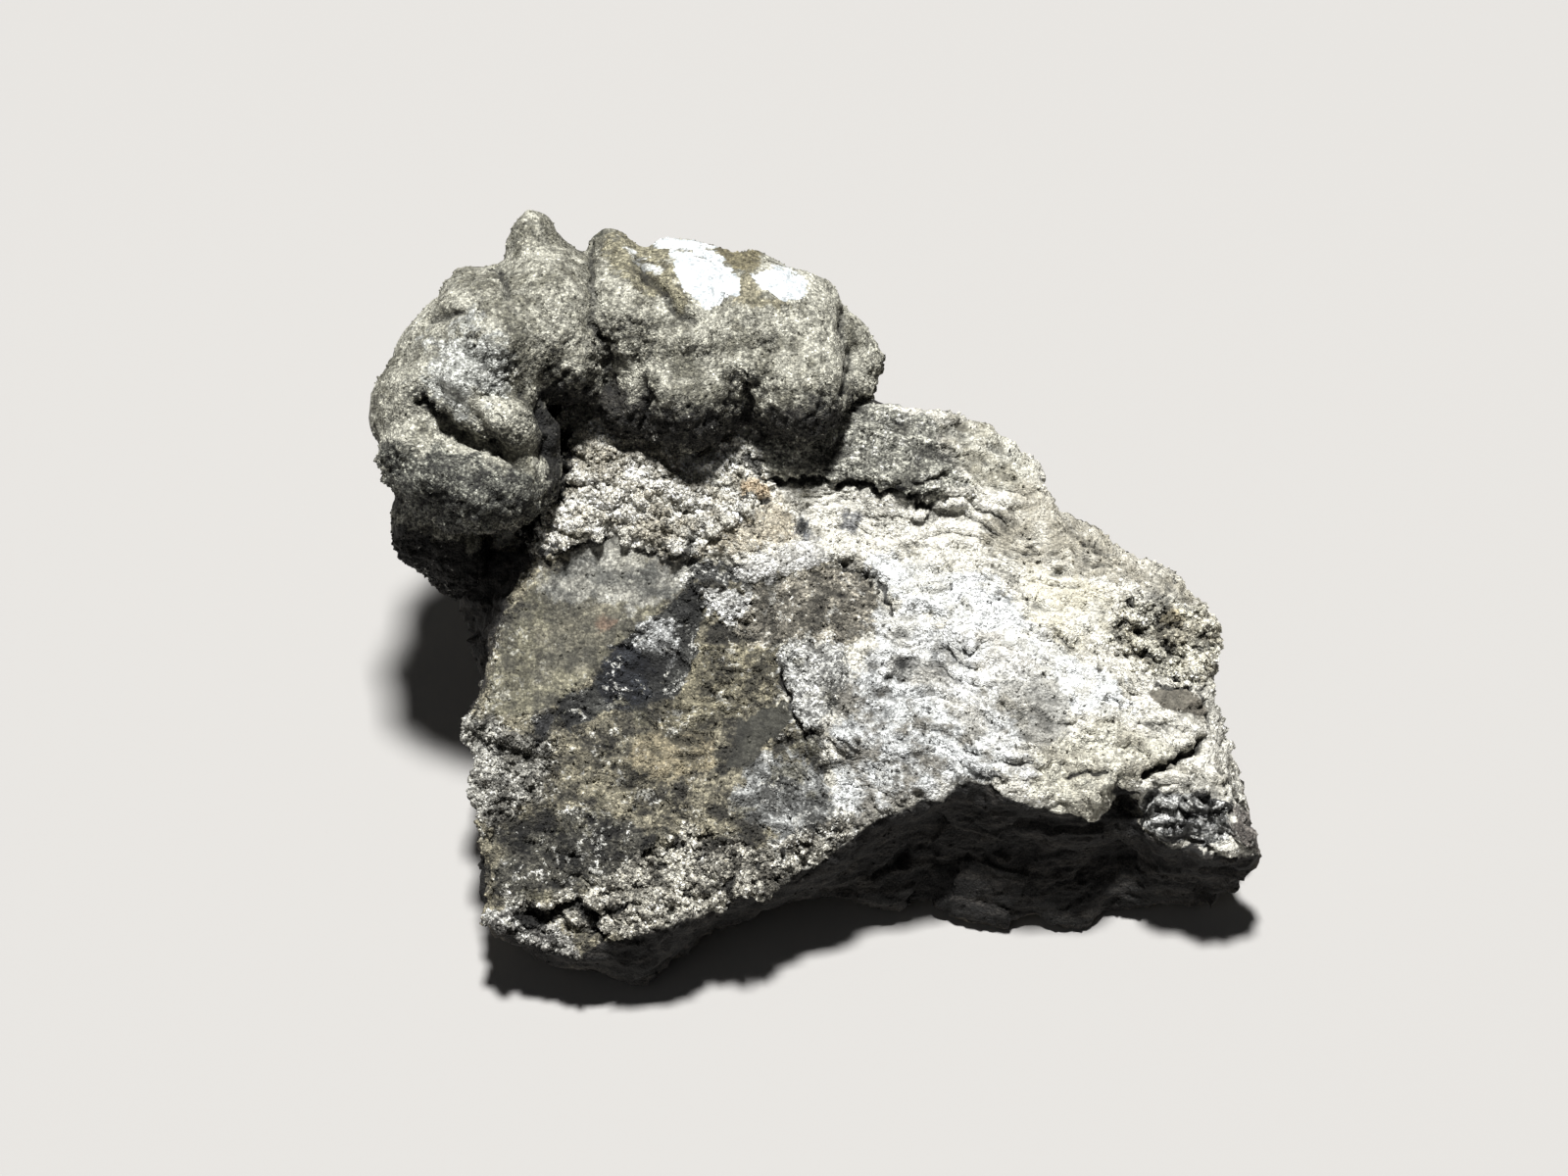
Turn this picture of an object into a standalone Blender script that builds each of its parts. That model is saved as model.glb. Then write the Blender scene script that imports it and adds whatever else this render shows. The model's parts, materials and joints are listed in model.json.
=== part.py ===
"""Boussingaultite specimen: a botryoidal crust of boussingaultite on a broken slab of host rock.

The specimen is modelled in its face frame, in which it is seen square on: u runs to the right, v up the
picture and w towards the viewer. The finished pieces are leaned back by VIEW_TILT, so that the specimen
rests on its underside, +Z up, with its origin at the centre of the bottom of its box.
All sizes are in millimetres, and the finished meshes are scaled to metres as the last step.
"""

import math

import bmesh
import bpy
from mathutils import Matrix, Vector, noise

# Driving sizes
MM = 0.001
VIEW_TILT = math.radians(45)
FACE_ORIGIN = Vector((-3.45, -3.5, 31.0))
GAP = 0.34

MATRIX_NAME = "matrix"
CRUST_NAME = "boussingaultite_crust"
MATRIX_TRIANGLES = 4800
CRUST_TRIANGLES = 3100
MATRIX_VOXEL = 0.8
CRUST_VOXEL = 0.7

# The lit face of the slab: a plane that leans back, through a point on its lower edge
LIT_SLOPE = math.tan(math.radians(20))
LIT_V = -38.8
LIT_W = 10.0
SLAB_BACK = -58.0
SLAB_FRONT = 12.0

# The slab's outline, clockwise from the end of the crust at its top
SLAB_OUTLINE = (
    (7.6, 21.3), (15.3, 19.2), (19.3, 19.5), (22.8, 18.0), (25.5, 15.2), (28.1, 13.1), (30.5, 8.6),
    (37.3, 4.4), (43.7, 1.3), (47.9, -1.8), (49.5, -6.2), (48.2, -8.4), (48.2, -16.3), (50.1, -22.1),
    (51.0, -24.6), (53.2, -27.7), (53.2, -30.5), (52.2, -35.5), (51.0, -37.6), (45.7, -36.2),
    (37.3, -36.6), (32.9, -38.4), (25.5, -39.3), (20.4, -39.0), (9.8, -35.9), (5.1, -34.6), (-2.2, -36.3),
    (-8.0, -38.3), (-12.5, -43.2), (-16.1, -45.6), (-20.0, -43.8), (-25.4, -43.6), (-26.1, -41.6),
    (-32.5, -37.9), (-33.6, -30.7), (-34.3, -21.0), (-35.3, -15.8), (-33.9, -12.1), (-33.3, -6.5),
    (-36.3, -2.0), (-36.8, 3.0), (-36.0, 13.0), (-31.0, 22.0), (-22.0, 27.0), (-8.0, 28.0), (3.0, 26.0),
)

# Where the lit face ends below and the broken front begins, from left to right
LIT_EDGE = (
    (-40.0, -37.5), (-32.5, -37.5), (-26.0, -40.2), (-20.4, -39.5), (-10.0, -36.6), (-2.2, -34.1),
    (0.3, -32.0), (4.8, -30.5), (7.7, -27.5), (12.6, -24.8), (17.6, -23.5), (20.1, -21.2), (23.2, -22.3),
    (27.4, -24.3), (32.7, -25.2), (35.9, -25.1), (38.4, -26.2), (41.8, -28.2), (46.2, -29.3),
    (54.0, -29.6), (60.0, -29.6),
)

# The foot of the broken front, from left to right, and how far above the ground it stops
FOOT_LINE = (
    (-40.0, -38.5), (-32.5, -38.5), (-26.1, -42.6), (-20.0, -43.8), (-16.1, -45.6), (-12.5, -43.2),
    (-8.0, -38.3), (-2.2, -36.3), (5.1, -34.6), (9.8, -35.9), (15.4, -37.3), (20.4, -39.0), (25.5, -39.3),
    (32.9, -38.4), (37.3, -36.6), (45.7, -36.2), (51.3, -37.6), (60.0, -37.6),
)
FOOT_HEIGHT = (
    (-40.0, 5.0), (-32.5, 4.0), (-26.0, 1.5), (-16.0, 0.0), (-12.0, 0.0), (-4.0, 3.0), (5.0, 4.0),
    (14.0, 1.5), (20.0, 0.0), (27.0, 0.0), (37.0, 1.6), (46.0, 1.6), (51.0, 0.0), (60.0, 0.0),
)

# Ledges of the lit face: lines of u, v that the rock steps up across. The left edge is given as v, u.
UPPER_LEDGE = (
    (-10.0, 17.5), (-3.9, 15.0), (-2.0, 12.4), (0.0, 11.7), (4.6, 11.7), (8.9, 11.1), (12.7, 10.5),
    (16.7, 9.0), (24.0, 4.5),
)
CRUMB_BAND = (
    (-34.0, 0.0), (-26.2, 3.1), (-23.2, 5.1), (-19.6, 5.9), (-17.5, 7.3), (-16.0, 3.7), (-4.0, 3.4),
    (-1.0, 9.5), (2.0, 12.0),
)
FILM_EDGE = (
    (-34.0, -14.6), (-25.7, -13.7), (-21.3, -10.9), (-17.5, -7.9), (-14.8, -4.4), (-11.0, -1.0),
    (-8.0, 3.5),
)
LEFT_EDGE = ((-15.5, -36.5), (-10.9, -33.3), (-5.5, -32.2), (-1.1, -30.6), (2.7, -27.9), (8.0, -24.0))
LEFT_DROP = 9.0
WHITE_STEP = ((-1.5, -7.0), (-0.2, -10.3), (1.4, -14.4), (2.6, -16.5))
THIN_CRACK = ((6.0, 3.0), (9.8, 1.6), (11.4, -1.2), (13.4, -2.3))
CORNER_CRACK = ((39.5, -21.2), (41.5, -20.2), (45.7, -18.3), (47.6, -15.6))

# Round forms on the lit face: centre u, v, half-widths u, v, turn in degrees, height
FACE_FORMS = (
    ("crest_of_the_face", 24.0, -19.0, 20.0, 13.0, -15, 4.5),
    ("white_ridge", 0.4, 3.5, 5.0, 1.9, 14, 1.3),
    ("white_cluster", -6.8, -1.6, 2.9, 1.9, 0, 0.6),
    ("diagonal_rib", 27.0, -11.4, 12.5, 1.7, -29, 0.9),
    ("hollow_under_rib", 27.0, -14.6, 6.5, 3.2, -15, -1.3),
    ("cream_swell", 33.0, -3.0, 6.0, 4.0, -25, 0.8),
    ("lower_lip", 34.5, -21.8, 6.5, 2.4, 8, 1.5),
    ("film_hollow", -25.0, -3.0, 9.0, 6.0, 35, -0.6),
    ("charcoal_hollow", -18.0, -9.0, 7.0, 3.2, 38, -0.9),
    ("olive_hollow", -6.0, -14.0, 6.0, 4.5, 0, -0.6),
    ("dark_smooth_patch", -2.8, -16.5, 2.6, 3.6, -15, -0.5),
    ("corner_block_top", 51.0, -26.5, 3.2, 2.2, -35, 1.2),
    ("corner_block_face", 44.5, -26.6, 4.2, 2.6, -10, -1.4),
    ("left_lower_knob", -30.5, -35.0, 2.6, 2.0, 0, 0.9),
    ("edge_knob_1", -17.5, -35.4, 3.0, 2.0, 12, 1.3),
    ("edge_knob_2", -13.6, -33.4, 2.5, 1.9, 0, 1.0),
    ("edge_knob_3", -10.6, -35.6, 2.6, 1.8, 10, 1.3),
    ("edge_knob_4", -6.4, -32.2, 2.6, 2.0, 20, 1.1),
    ("edge_knob_5", -3.0, -33.0, 2.2, 1.7, 30, 1.2),
    ("edge_knob_6", 6.0, -28.5, 2.4, 1.9, 35, 1.0),
    ("edge_knob_7", 12.0, -23.4, 2.6, 1.7, 20, 0.8),
)

# Pits: centre u, v, half-widths u, v, depth
FACE_PITS = (
    ("gap_at_the_corner", 37.9, -24.4, 2.5, 2.0, 6.5),
    ("left_hollow", -28.1, -36.9, 2.0, 1.3, 3.0),
    ("arch_gap", -23.4, -37.6, 3.0, 2.0, 5.0),
    ("slot", -17.8, -36.9, 2.0, 0.9, 2.2),
    ("right_pit", 39.7, -4.8, 1.5, 1.0, 1.6),
    ("flake_shadow", -3.3, 10.4, 1.6, 0.8, 0.9),
)

# The slab's hidden sides, as planes in the resting frame: a point and the way that the rock ends.
# The points are measured from the face frame's origin in plan, and from the ground in height.
BACK_PLANES = (
    ("back", (0.0, 35.5, 20.0), (0.05, 0.97, 0.22)),
    ("back_right", (39.0, 18.5, 14.0), (0.66, 0.74, 0.14)),
    ("back_left", (-31.5, 24.0, 14.0), (-0.62, 0.77, -0.12)),
    ("left_undercut", (-36.5, 0.0, 16.0), (-0.93, 0.0, -0.37)),
    ("right_undercut", (51.0, -10.0, 8.0), (0.92, 0.10, -0.38)),
)
UNDERSIDE_LIFT = 0.3
FLAT_SEAT = (2.0, 2.0, 11.0, 9.0)
SOFTENING = 1

# Lobes of the crust that the picture shows: centre u, v, w and half-widths u, v, w
FRONT_LOBES = (
    ("upper_left_lobe", -32.0, 27.2, -6.0, 8.4, 8.6, 11.0),
    ("left_shoulder", -38.6, 21.4, -6.8, 7.0, 7.4, 10.0),
    ("left_fill", -36.4, 24.2, -6.0, 7.0, 7.2, 10.2),
    ("curl_1", -41.2, 19.2, -4.6, 4.8, 5.6, 7.0),
    ("curl_2", -40.6, 15.8, -3.2, 5.0, 5.2, 6.8),
    ("curl_3", -38.2, 12.6, -2.0, 5.2, 5.0, 6.8),
    ("curl_4", -34.9, 11.2, -1.2, 5.2, 5.0, 6.8),
    ("curl_5", -31.4, 11.4, -1.6, 5.2, 5.2, 6.6),
    ("curl_end", -28.8, 12.8, -3.4, 4.0, 5.0, 6.2),
    ("tongue", -35.6, 20.2, -0.6, 6.0, 4.2, 5.4),
    ("tongue_tip", -31.6, 18.8, -0.6, 4.0, 3.2, 5.0),
    ("thumb", -29.2, 20.6, -0.4, 2.4, 3.4, 4.4),
    ("thumb_tip", -27.7, 16.6, -1.6, 2.3, 3.2, 4.4),
    ("nub_left", -35.4, 32.6, -8.8, 3.9, 3.9, 5.0),
    ("nub_left_step", -31.6, 33.2, -8.2, 3.6, 3.4, 4.8),
    ("nub_top", -28.5, 38.6, -10.4, 3.2, 4.6, 4.2),
    ("nub_top_foot", -26.8, 34.6, -9.8, 5.2, 5.4, 6.4),
    ("middle_ridge", -26.0, 29.4, -6.4, 6.2, 8.2, 9.6),
    ("middle_belly", -24.2, 25.4, -5.6, 5.0, 5.0, 7.2),
    ("middle_join", -20.8, 29.4, -7.6, 5.0, 8.0, 8.8),
    ("right_body_1", -16.6, 29.4, -8.6, 6.2, 8.6, 9.8),
    ("right_body_2", -10.6, 28.8, -8.4, 7.4, 9.2, 10.4),
    ("right_body_3", -3.6, 29.2, -9.4, 7.0, 8.6, 10.2),
    ("right_body_4", 1.8, 28.4, -10.2, 5.8, 7.4, 9.2),
    ("belly_a", -10.9, 22.2, -4.8, 6.5, 6.6, 6.8),
    ("belly_b", 1.7, 22.6, -5.4, 6.0, 6.6, 6.8),
    ("belly_bridge", -4.6, 24.4, -5.6, 5.4, 6.4, 6.2),
    ("belly_c", -17.8, 21.4, -7.0, 3.6, 4.2, 5.4),
    ("brown_knob", -19.4, 37.0, -12.6, 3.3, 3.5, 4.6),
    ("brown_lump", -17.4, 34.2, -5.8, 2.9, 2.8, 3.2),
    ("brown_fold_lump", -13.2, 33.4, -4.6, 3.0, 3.4, 3.6),
    ("broken_top", -11.2, 35.2, -12.4, 6.0, 4.8, 6.4),
    ("ochre_knob", -4.4, 35.6, -11.2, 3.4, 2.8, 4.2),
    ("right_shoulder", 1.4, 32.2, -13.2, 4.6, 3.9, 5.8),
    ("end_nodule_1", 8.0, 28.6, -12.4, 2.1, 2.6, 3.2),
    ("end_nodule_2", 8.8, 25.4, -12.6, 2.3, 2.4, 3.2),
    ("end_nodule_3", 8.0, 22.6, -12.4, 2.5, 2.3, 3.4),
    ("shadow_lobe", -40.0, 6.8, -12.4, 4.7, 5.4, 6.6),
    ("shadow_lobe_low", -37.4, 3.8, -14.4, 4.2, 4.6, 5.8),
    ("shadow_lobe_join", -38.0, 12.0, -11.4, 5.2, 6.2, 7.4),
)

# Lobes that wrap over the back and the left end, where the picture doesn't reach
BACK_LOBES = (
    ("back_upper_1", -35.6, 25.0, -14.0, 8.6, 8.6, 8.8),
    ("back_upper_2", -24.6, 29.0, -15.5, 8.4, 8.4, 8.6),
    ("back_upper_3", -12.4, 28.6, -15.8, 8.8, 8.6, 9.0),
    ("back_upper_4", -1.2, 26.8, -15.2, 7.8, 7.6, 8.0),
    ("back_end", 5.6, 23.6, -13.6, 4.6, 4.6, 5.6),
    ("back_low_1", -35.4, 19.2, -22.4, 5.2, 6.0, 6.4),
    ("back_low_2", -28.4, 21.4, -25.8, 7.6, 7.2, 6.8),
    ("back_low_3", -19.2, 24.8, -25.4, 6.2, 5.2, 7.0),
    ("back_low_4", -12.2, 22.4, -27.0, 6.8, 6.0, 5.4),
    ("back_low_5", -4.6, 22.6, -23.4, 4.2, 4.4, 5.6),
    ("back_foot", -23.0, 16.4, -31.5, 4.8, 4.6, 4.8),
    ("left_back", -40.0, 13.6, -16.5, 4.6, 5.6, 6.4),
)

# Folds pressed into the crust's front: points u, v along the fold, its half-width and its depth
FOLDS = (
    ("curl_fold", ((-40.2, 20.5), (-38.3, 18.5), (-35.5, 16.6), (-32.6, 15.7), (-29.4, 14.0)), 0.7, 1.1),
    ("curl_fold_short", ((-33.8, 21.5), (-30.8, 20.0)), 0.7, 1.2),
    ("great_crease", ((-21.4, 39.5), (-21.3, 34.2), (-20.9, 29.2), (-19.6, 24.2), (-19.2, 21.0)), 0.8, 1.4),
    ("belly_crease", ((-4.5, 21.0), (-4.5, 19.0), (-4.5, 16.0)), 1.0, 1.3),
    ("belly_crease_top", ((-4.2, 33.0), (-4.8, 28.8), (-4.5, 21.0)), 1.8, 0.5),
    ("small_belly_crease", ((-15.0, 22.0), (-15.3, 17.0)), 0.9, 0.9),
    ("end_step", ((6.4, 31.0), (7.0, 26.0), (7.2, 21.6)), 0.8, 1.0),
    ("brown_fold", ((-16.4, 37.4), (-15.4, 34.0), (-12.4, 30.6), (-9.4, 29.6)), 1.3, 0.6),
    ("nub_notch", ((-41.0, 30.2), (-38.2, 30.4), (-35.6, 29.4)), 1.0, 0.9),
    ("nub_gap", ((-32.6, 38.0), (-31.0, 35.4), (-30.4, 32.0)), 1.0, 0.8),
)


def clear_scene():
    """Removes whatever the scene holds."""
    for obj in list(bpy.data.objects):
        bpy.data.objects.remove(obj, do_unlink=True)


def new_collection(name):
    """A collection linked to the scene."""
    collection = bpy.data.collections.new(name)
    bpy.context.scene.collection.children.link(collection)
    return collection


def new_material(name, color, roughness):
    """A Principled material of one colour."""
    material = bpy.data.materials.new(name)
    material.use_nodes = True
    shader = material.node_tree.nodes["Principled BSDF"]
    shader.inputs["Base Color"].default_value = (*color, 1.0)
    shader.inputs["Roughness"].default_value = roughness
    shader.inputs["Metallic"].default_value = 0.0
    material.diffuse_color = (*color, 1.0)
    return material


def new_object(name, mesh, collection, helper=False):
    """An object for the mesh. A helper is kept out of the render."""
    obj = bpy.data.objects.new(name, mesh)
    collection.objects.link(obj)
    if helper:
        obj.hide_render = True
        obj.display_type = "WIRE"
    return obj


def bake_modifiers(obj):
    """Gives the object the mesh that its modifiers make, and removes them."""
    graph = bpy.context.evaluated_depsgraph_get()
    mesh = bpy.data.meshes.new_from_object(obj.evaluated_get(graph))
    obj.modifiers.clear()
    obj.data = mesh


def remesh(obj, voxel):
    """Rebuilds the surface of everything in the object as one even skin."""
    modifier = obj.modifiers.new("even_skin", "REMESH")
    modifier.mode = "VOXEL"
    modifier.voxel_size = voxel
    modifier.use_smooth_shade = True
    bake_modifiers(obj)


def smooth(obj, factor, times):
    """Rounds off what is sharper than a few millimetres."""
    modifier = obj.modifiers.new("round_off", "SMOOTH")
    modifier.factor = factor
    modifier.iterations = times
    bake_modifiers(obj)


def thin_out(obj, triangles):
    """Brings the mesh down to about so many triangles, the flattest places first."""
    obj.data.calc_loop_triangles()
    modifier = obj.modifiers.new("thin_out", "DECIMATE")
    modifier.ratio = min(1.0, triangles / len(obj.data.loop_triangles))
    modifier.use_collapse_triangulate = True
    bake_modifiers(obj)


def cut(obj, cutter):
    """Takes the cutter's space out of the object."""
    modifier = obj.modifiers.new("cut", "BOOLEAN")
    modifier.operation = "DIFFERENCE"
    modifier.solver = "EXACT"
    modifier.object = cutter
    bake_modifiers(obj)


def keep_largest(obj):
    """Drops the loose chips that a cut leaves beside the main body."""
    mesh = bmesh.new()
    mesh.from_mesh(obj.data)
    left = set(mesh.verts)
    islands = []
    while left:
        island = {left.pop()}
        edge_of_search = list(island)
        while edge_of_search:
            vert = edge_of_search.pop()
            for edge in vert.link_edges:
                other = edge.other_vert(vert)
                if other in left:
                    left.discard(other)
                    island.add(other)
                    edge_of_search.append(other)
        islands.append(island)
    islands.sort(key=len)
    for island in islands[:-1]:
        bmesh.ops.delete(mesh, geom=list(island), context="VERTS")
    mesh.to_mesh(obj.data)
    mesh.free()


def soft_step(x, low, high):
    """0 below low, 1 above high, and a smooth rise between."""
    t = min(1.0, max(0.0, (x - low) / (high - low)))
    return t * t * (3 - 2 * t)


def height_of_line(line, u):
    """The v of a line of (u, v) points at this u."""
    if u <= line[0][0]:
        return line[0][1]
    for (u0, v0), (u1, v1) in zip(line, line[1:]):
        if u <= u1:
            return v0 + (v1 - v0) * (u - u0) / (u1 - u0)
    return line[-1][1]


def distance_to_line(line, point):
    """How far a point is from a line of points, all with the same number of coordinates."""
    nearest = math.inf
    spot = Vector(point)
    for start, end in zip(line, line[1:]):
        a = Vector(start)
        along = Vector(end) - a
        t = min(1.0, max(0.0, (spot - a).dot(along) / along.length_squared))
        nearest = min(nearest, (spot - a - along * t).length)
    return nearest


def round_form(u, v, centre_u, centre_v, half_u, half_v, turn):
    """1 at the centre of a turned oval, falling smoothly to 0 at about twice its half-widths."""
    cos = math.cos(math.radians(turn))
    sin = math.sin(math.radians(turn))
    du = ((u - centre_u) * cos + (v - centre_v) * sin) / half_u
    dv = ((v - centre_v) * cos - (u - centre_u) * sin) / half_v
    return math.exp(-(du * du + dv * dv))


def grain(u, v, w, size, seed):
    """Smooth noise between about -1 and 1, with lumps of this size."""
    spot = Vector((u / size + seed * 17.3, v / size - seed * 9.1, w / size + seed * 4.7))
    return 1.8 * noise.noise(spot)


def facets(u, v, w, size, seed):
    """Flat chips of about this size, each tilted its own way, between about -1 and 1."""
    spot = Vector((u / size + seed * 3.1, v / size - seed * 1.7, w / size + seed * 2.3))
    centre = noise.voronoi(spot)[1][0]
    tilt = Vector([noise.noise(centre * 5.3 + Vector((shift, 0, 0))) for shift in (0.3, 31.7, 63.1)]) * 2.4
    return (spot - centre).dot(tilt) + 0.5 * tilt.x


def face_height(u, v):
    """w of the lit face at a point of the picture."""
    w = LIT_W - LIT_SLOPE * (v - LIT_V)
    w -= 3.2 * soft_step(u, 42.0, 58.0)
    w -= 1.2 * soft_step(-u, 27.0, 38.0)
    w -= LEFT_DROP * soft_step(height_of_line(LEFT_EDGE, v) - u, -0.4, 2.6) * soft_step(v, -16.0, -13.0)
    for _, centre_u, centre_v, half_u, half_v, turn, height in FACE_FORMS:
        w += height * round_form(u, v, centre_u, centre_v, half_u, half_v, turn)
    return w + face_ledges(u, v) + face_lumps(u, v) - face_pits(u, v)


def face_ledges(u, v):
    """Steps of the lit face: the upper layer, the crumb band, the film and the white crust."""
    ledge = v - height_of_line(UPPER_LEDGE, u)
    rise = 3.2 * soft_step(ledge, -0.2, 0.9) * soft_step(u, -8.0, -3.0) * (1 - soft_step(u, 14.0, 24.0))
    band = v - height_of_line(CRUMB_BAND, u)
    rise += 1.5 * soft_step(band, -0.3, 0.8) * (1 - soft_step(u, -3.0, 2.0))
    film = v - height_of_line(FILM_EDGE, u)
    rise += 0.5 * soft_step(film, -0.4, 0.4) * (1 - soft_step(u, -13.0, -9.0))
    if -18.0 < v < -5.0:
        step_u = height_of_line([(-b, a) for a, b in WHITE_STEP], -v)
        rise += 1.9 * soft_step(u - step_u, -0.4, 0.5) * (1 - soft_step(u - step_u, 3.0, 16.0))
    plate = distance_to_line(THIN_CRACK, (u, v))
    rise -= 0.9 * (1 - soft_step(plate, 0.2, 1.1))
    corner = distance_to_line(CORNER_CRACK, (u, v))
    rise -= 2.6 * (1 - soft_step(corner, 0.3, 1.3))
    return rise


def face_lumps(u, v):
    """The unevenness of the lit face: calm on the film at the left, lumpy and chipped elsewhere."""
    film = v - height_of_line(FILM_EDGE, u)
    band = v - height_of_line(CRUMB_BAND, u)
    calm = soft_step(film, 0.0, 2.0) * (1 - soft_step(band, -2.0, 0.0)) * (1 - soft_step(u, -14.0, -8.0))
    lively = 1 - 0.8 * calm
    lumps = 0.8 * grain(u, v, 0, 11.0, 1) + 0.7 * lively * grain(u, v, 0, 5.0, 2)
    lumps += 0.9 * lively * facets(u, v, 0, 6.5, 1) + 0.3 * lively * grain(u, v, 0, 2.6, 4)
    crumbs = soft_step(band, -0.5, 1.0) * (1 - soft_step(u, 0.0, 6.0))
    crumbs += 1 - soft_step(v - height_of_line(LIT_EDGE, u), 2.0, 6.0)
    right_end = 0.8 * soft_step(u, 36.0, 46.0)
    return lumps + 0.9 * min(1.0, crumbs + right_end) * grain(u, v, 0, 2.4, 3)


def face_pits(u, v):
    """How deep the pits go at this point."""
    depth = 0.0
    for _, centre_u, centre_v, half_u, half_v, deep in FACE_PITS:
        depth += deep * round_form(u, v, centre_u, centre_v, half_u, half_v, 0)
    return depth


def ground_below(v, height):
    """w at which a point of the picture is this high above the ground."""
    lift = FACE_ORIGIN.z
    return (height - lift) / math.sin(VIEW_TILT) - v


def slab_surface(u, v):
    """w of the slab's visible surface: the lit face, and below its edge the broken front."""
    edge = height_of_line(LIT_EDGE, u) + 0.6 * grain(u, v, 0, 2.2, 5)
    if v >= edge:
        return face_height(u, v)
    foot = min(height_of_line(FOOT_LINE, u), edge - 1.0)
    t = min(1.25, (edge - v) / (edge - foot))
    top = face_height(u, edge)
    bottom = ground_below(foot, height_of_line(FOOT_HEIGHT, u))
    hollow = 4.0 * soft_step(u, 2.0, 14.0) * (1 - soft_step(u, 44.0, 54.0))
    w = top + (bottom - top) * t - hollow * math.sin(math.pi * min(1.0, t ** 0.7))
    sheet = (edge - v) * 0.5 + 0.05 * u + 1.6 * grain(u, v, 3, 12.0, 6)
    w += 1.5 * ((sheet / 3.0) % 1.0 - 0.5) + 1.1 * facets(u, 1.6 * v, 1, 7.0, 3)
    return w + 0.8 * grain(u, v, 1, 3.2, 7)


def lean_back():
    """The move from the face frame to the resting frame."""
    turn = Matrix.Rotation(math.pi / 2 - VIEW_TILT, 4, "X")
    return Matrix.Translation(FACE_ORIGIN) @ turn


def slab_blank(helpers):
    """The slab's outline, extruded towards the viewer and given an even skin."""
    curve = bpy.data.curves.new("slab_outline", "CURVE")
    curve.dimensions = "2D"
    curve.fill_mode = "BOTH"
    curve.extrude = (SLAB_FRONT - SLAB_BACK) / 2
    spline = curve.splines.new("POLY")
    spline.points.add(len(SLAB_OUTLINE) - 1)
    for point, (u, v) in zip(spline.points, SLAB_OUTLINE):
        point.co = (u, v, 0, 1)
    spline.use_cyclic_u = True
    outline = new_object("slab_outline", curve, helpers, helper=True)
    graph = bpy.context.evaluated_depsgraph_get()
    mesh = bpy.data.meshes.new_from_object(outline.evaluated_get(graph))
    bpy.data.objects.remove(outline, do_unlink=True)
    welded = bmesh.new()
    welded.from_mesh(mesh)
    bmesh.ops.remove_doubles(welded, verts=welded.verts, dist=0.01)
    bmesh.ops.recalc_face_normals(welded, faces=welded.faces)
    welded.to_mesh(mesh)
    welded.free()
    return mesh


def raise_face(obj):
    """Moves the blank's front to the slab's visible surface, and what is behind it in proportion."""
    half = (SLAB_FRONT - SLAB_BACK) / 2
    for vert in obj.data.vertices:
        u, v, w = vert.co
        t = (w + half) / (2 * half)
        vert.co.z = SLAB_BACK + t * (slab_surface(u, v) - SLAB_BACK)


def cut_plane(obj, point, normal):
    """Cuts off what lies beyond a plane, and closes the cut with a flat face."""
    mesh = bmesh.new()
    mesh.from_mesh(obj.data)
    everything = [*mesh.verts, *mesh.edges, *mesh.faces]
    made = bmesh.ops.bisect_plane(
        mesh, geom=everything, dist=0.001, plane_co=point, plane_no=normal, clear_outer=True
    )
    rim = [item for item in made["geom_cut"] if isinstance(item, bmesh.types.BMEdge)]
    bmesh.ops.triangle_fill(mesh, edges=rim, use_beauty=True, normal=normal)
    bmesh.ops.recalc_face_normals(mesh, faces=mesh.faces)
    mesh.to_mesh(obj.data)
    mesh.free()


def broken_rock(co, normal):
    """How far a point of the slab's hidden sides is pushed out: bedding steps, chips and grain."""
    u, v, w = co
    bed = w * 0.90 - v * 0.42 + 2.6 * grain(u, v, w, 19.0, 11)
    step = (bed / 5.2) % 1.0 - 0.5
    sideways = (1 - abs(normal.z)) * (0.6 + 0.6 * grain(u, v, w, 16.0, 14))
    push = 2.0 * step * sideways + 2.3 * facets(u, v, w, 11.0, 5)
    return push + 1.2 * grain(u, v, w, 9.0, 12) + 0.5 * grain(u, v, w, 4.0, 13)


def hidden_share(vert):
    """1 on the sides, back and underside of a leaned-back piece, 0 where it faces the viewer."""
    towards_viewer = Vector((0, -math.sin(VIEW_TILT), math.cos(VIEW_TILT)))
    return 1 - soft_step(vert.normal.dot(towards_viewer), -0.25, 0.25)


def evened(mesh, values):
    """Each vertex's value, averaged with those of its neighbours."""
    sums = list(values)
    counts = [1] * len(values)
    for edge in mesh.edges:
        a, b = edge.vertices
        sums[a] += values[b]
        sums[b] += values[a]
        counts[a] += 1
        counts[b] += 1
    return [total / count for total, count in zip(sums, counts)]


def roughen_sides(obj):
    """Breaks up the plain cut planes of the slab's hidden sides."""
    pushes = []
    seat_x, seat_y, half_x, half_y = FLAT_SEAT
    for vert in obj.data.vertices:
        push = hidden_share(vert) * broken_rock(vert.co, vert.normal)
        x, y, _ = vert.co
        seat = max(abs((x - seat_x) / half_x), abs((y - seat_y) / half_y))
        below = soft_step(-vert.normal.z, 0.6, 0.9)
        push += below * (1 - soft_step(seat, 0.8, 1.2)) * 3.5
        pushes.append(push)
    for _ in range(SOFTENING):
        pushes = evened(obj.data, pushes)
    moves = [vert.normal * push for vert, push in zip(obj.data.vertices, pushes)]
    for vert, move in zip(obj.data.vertices, moves):
        vert.co += move


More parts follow.
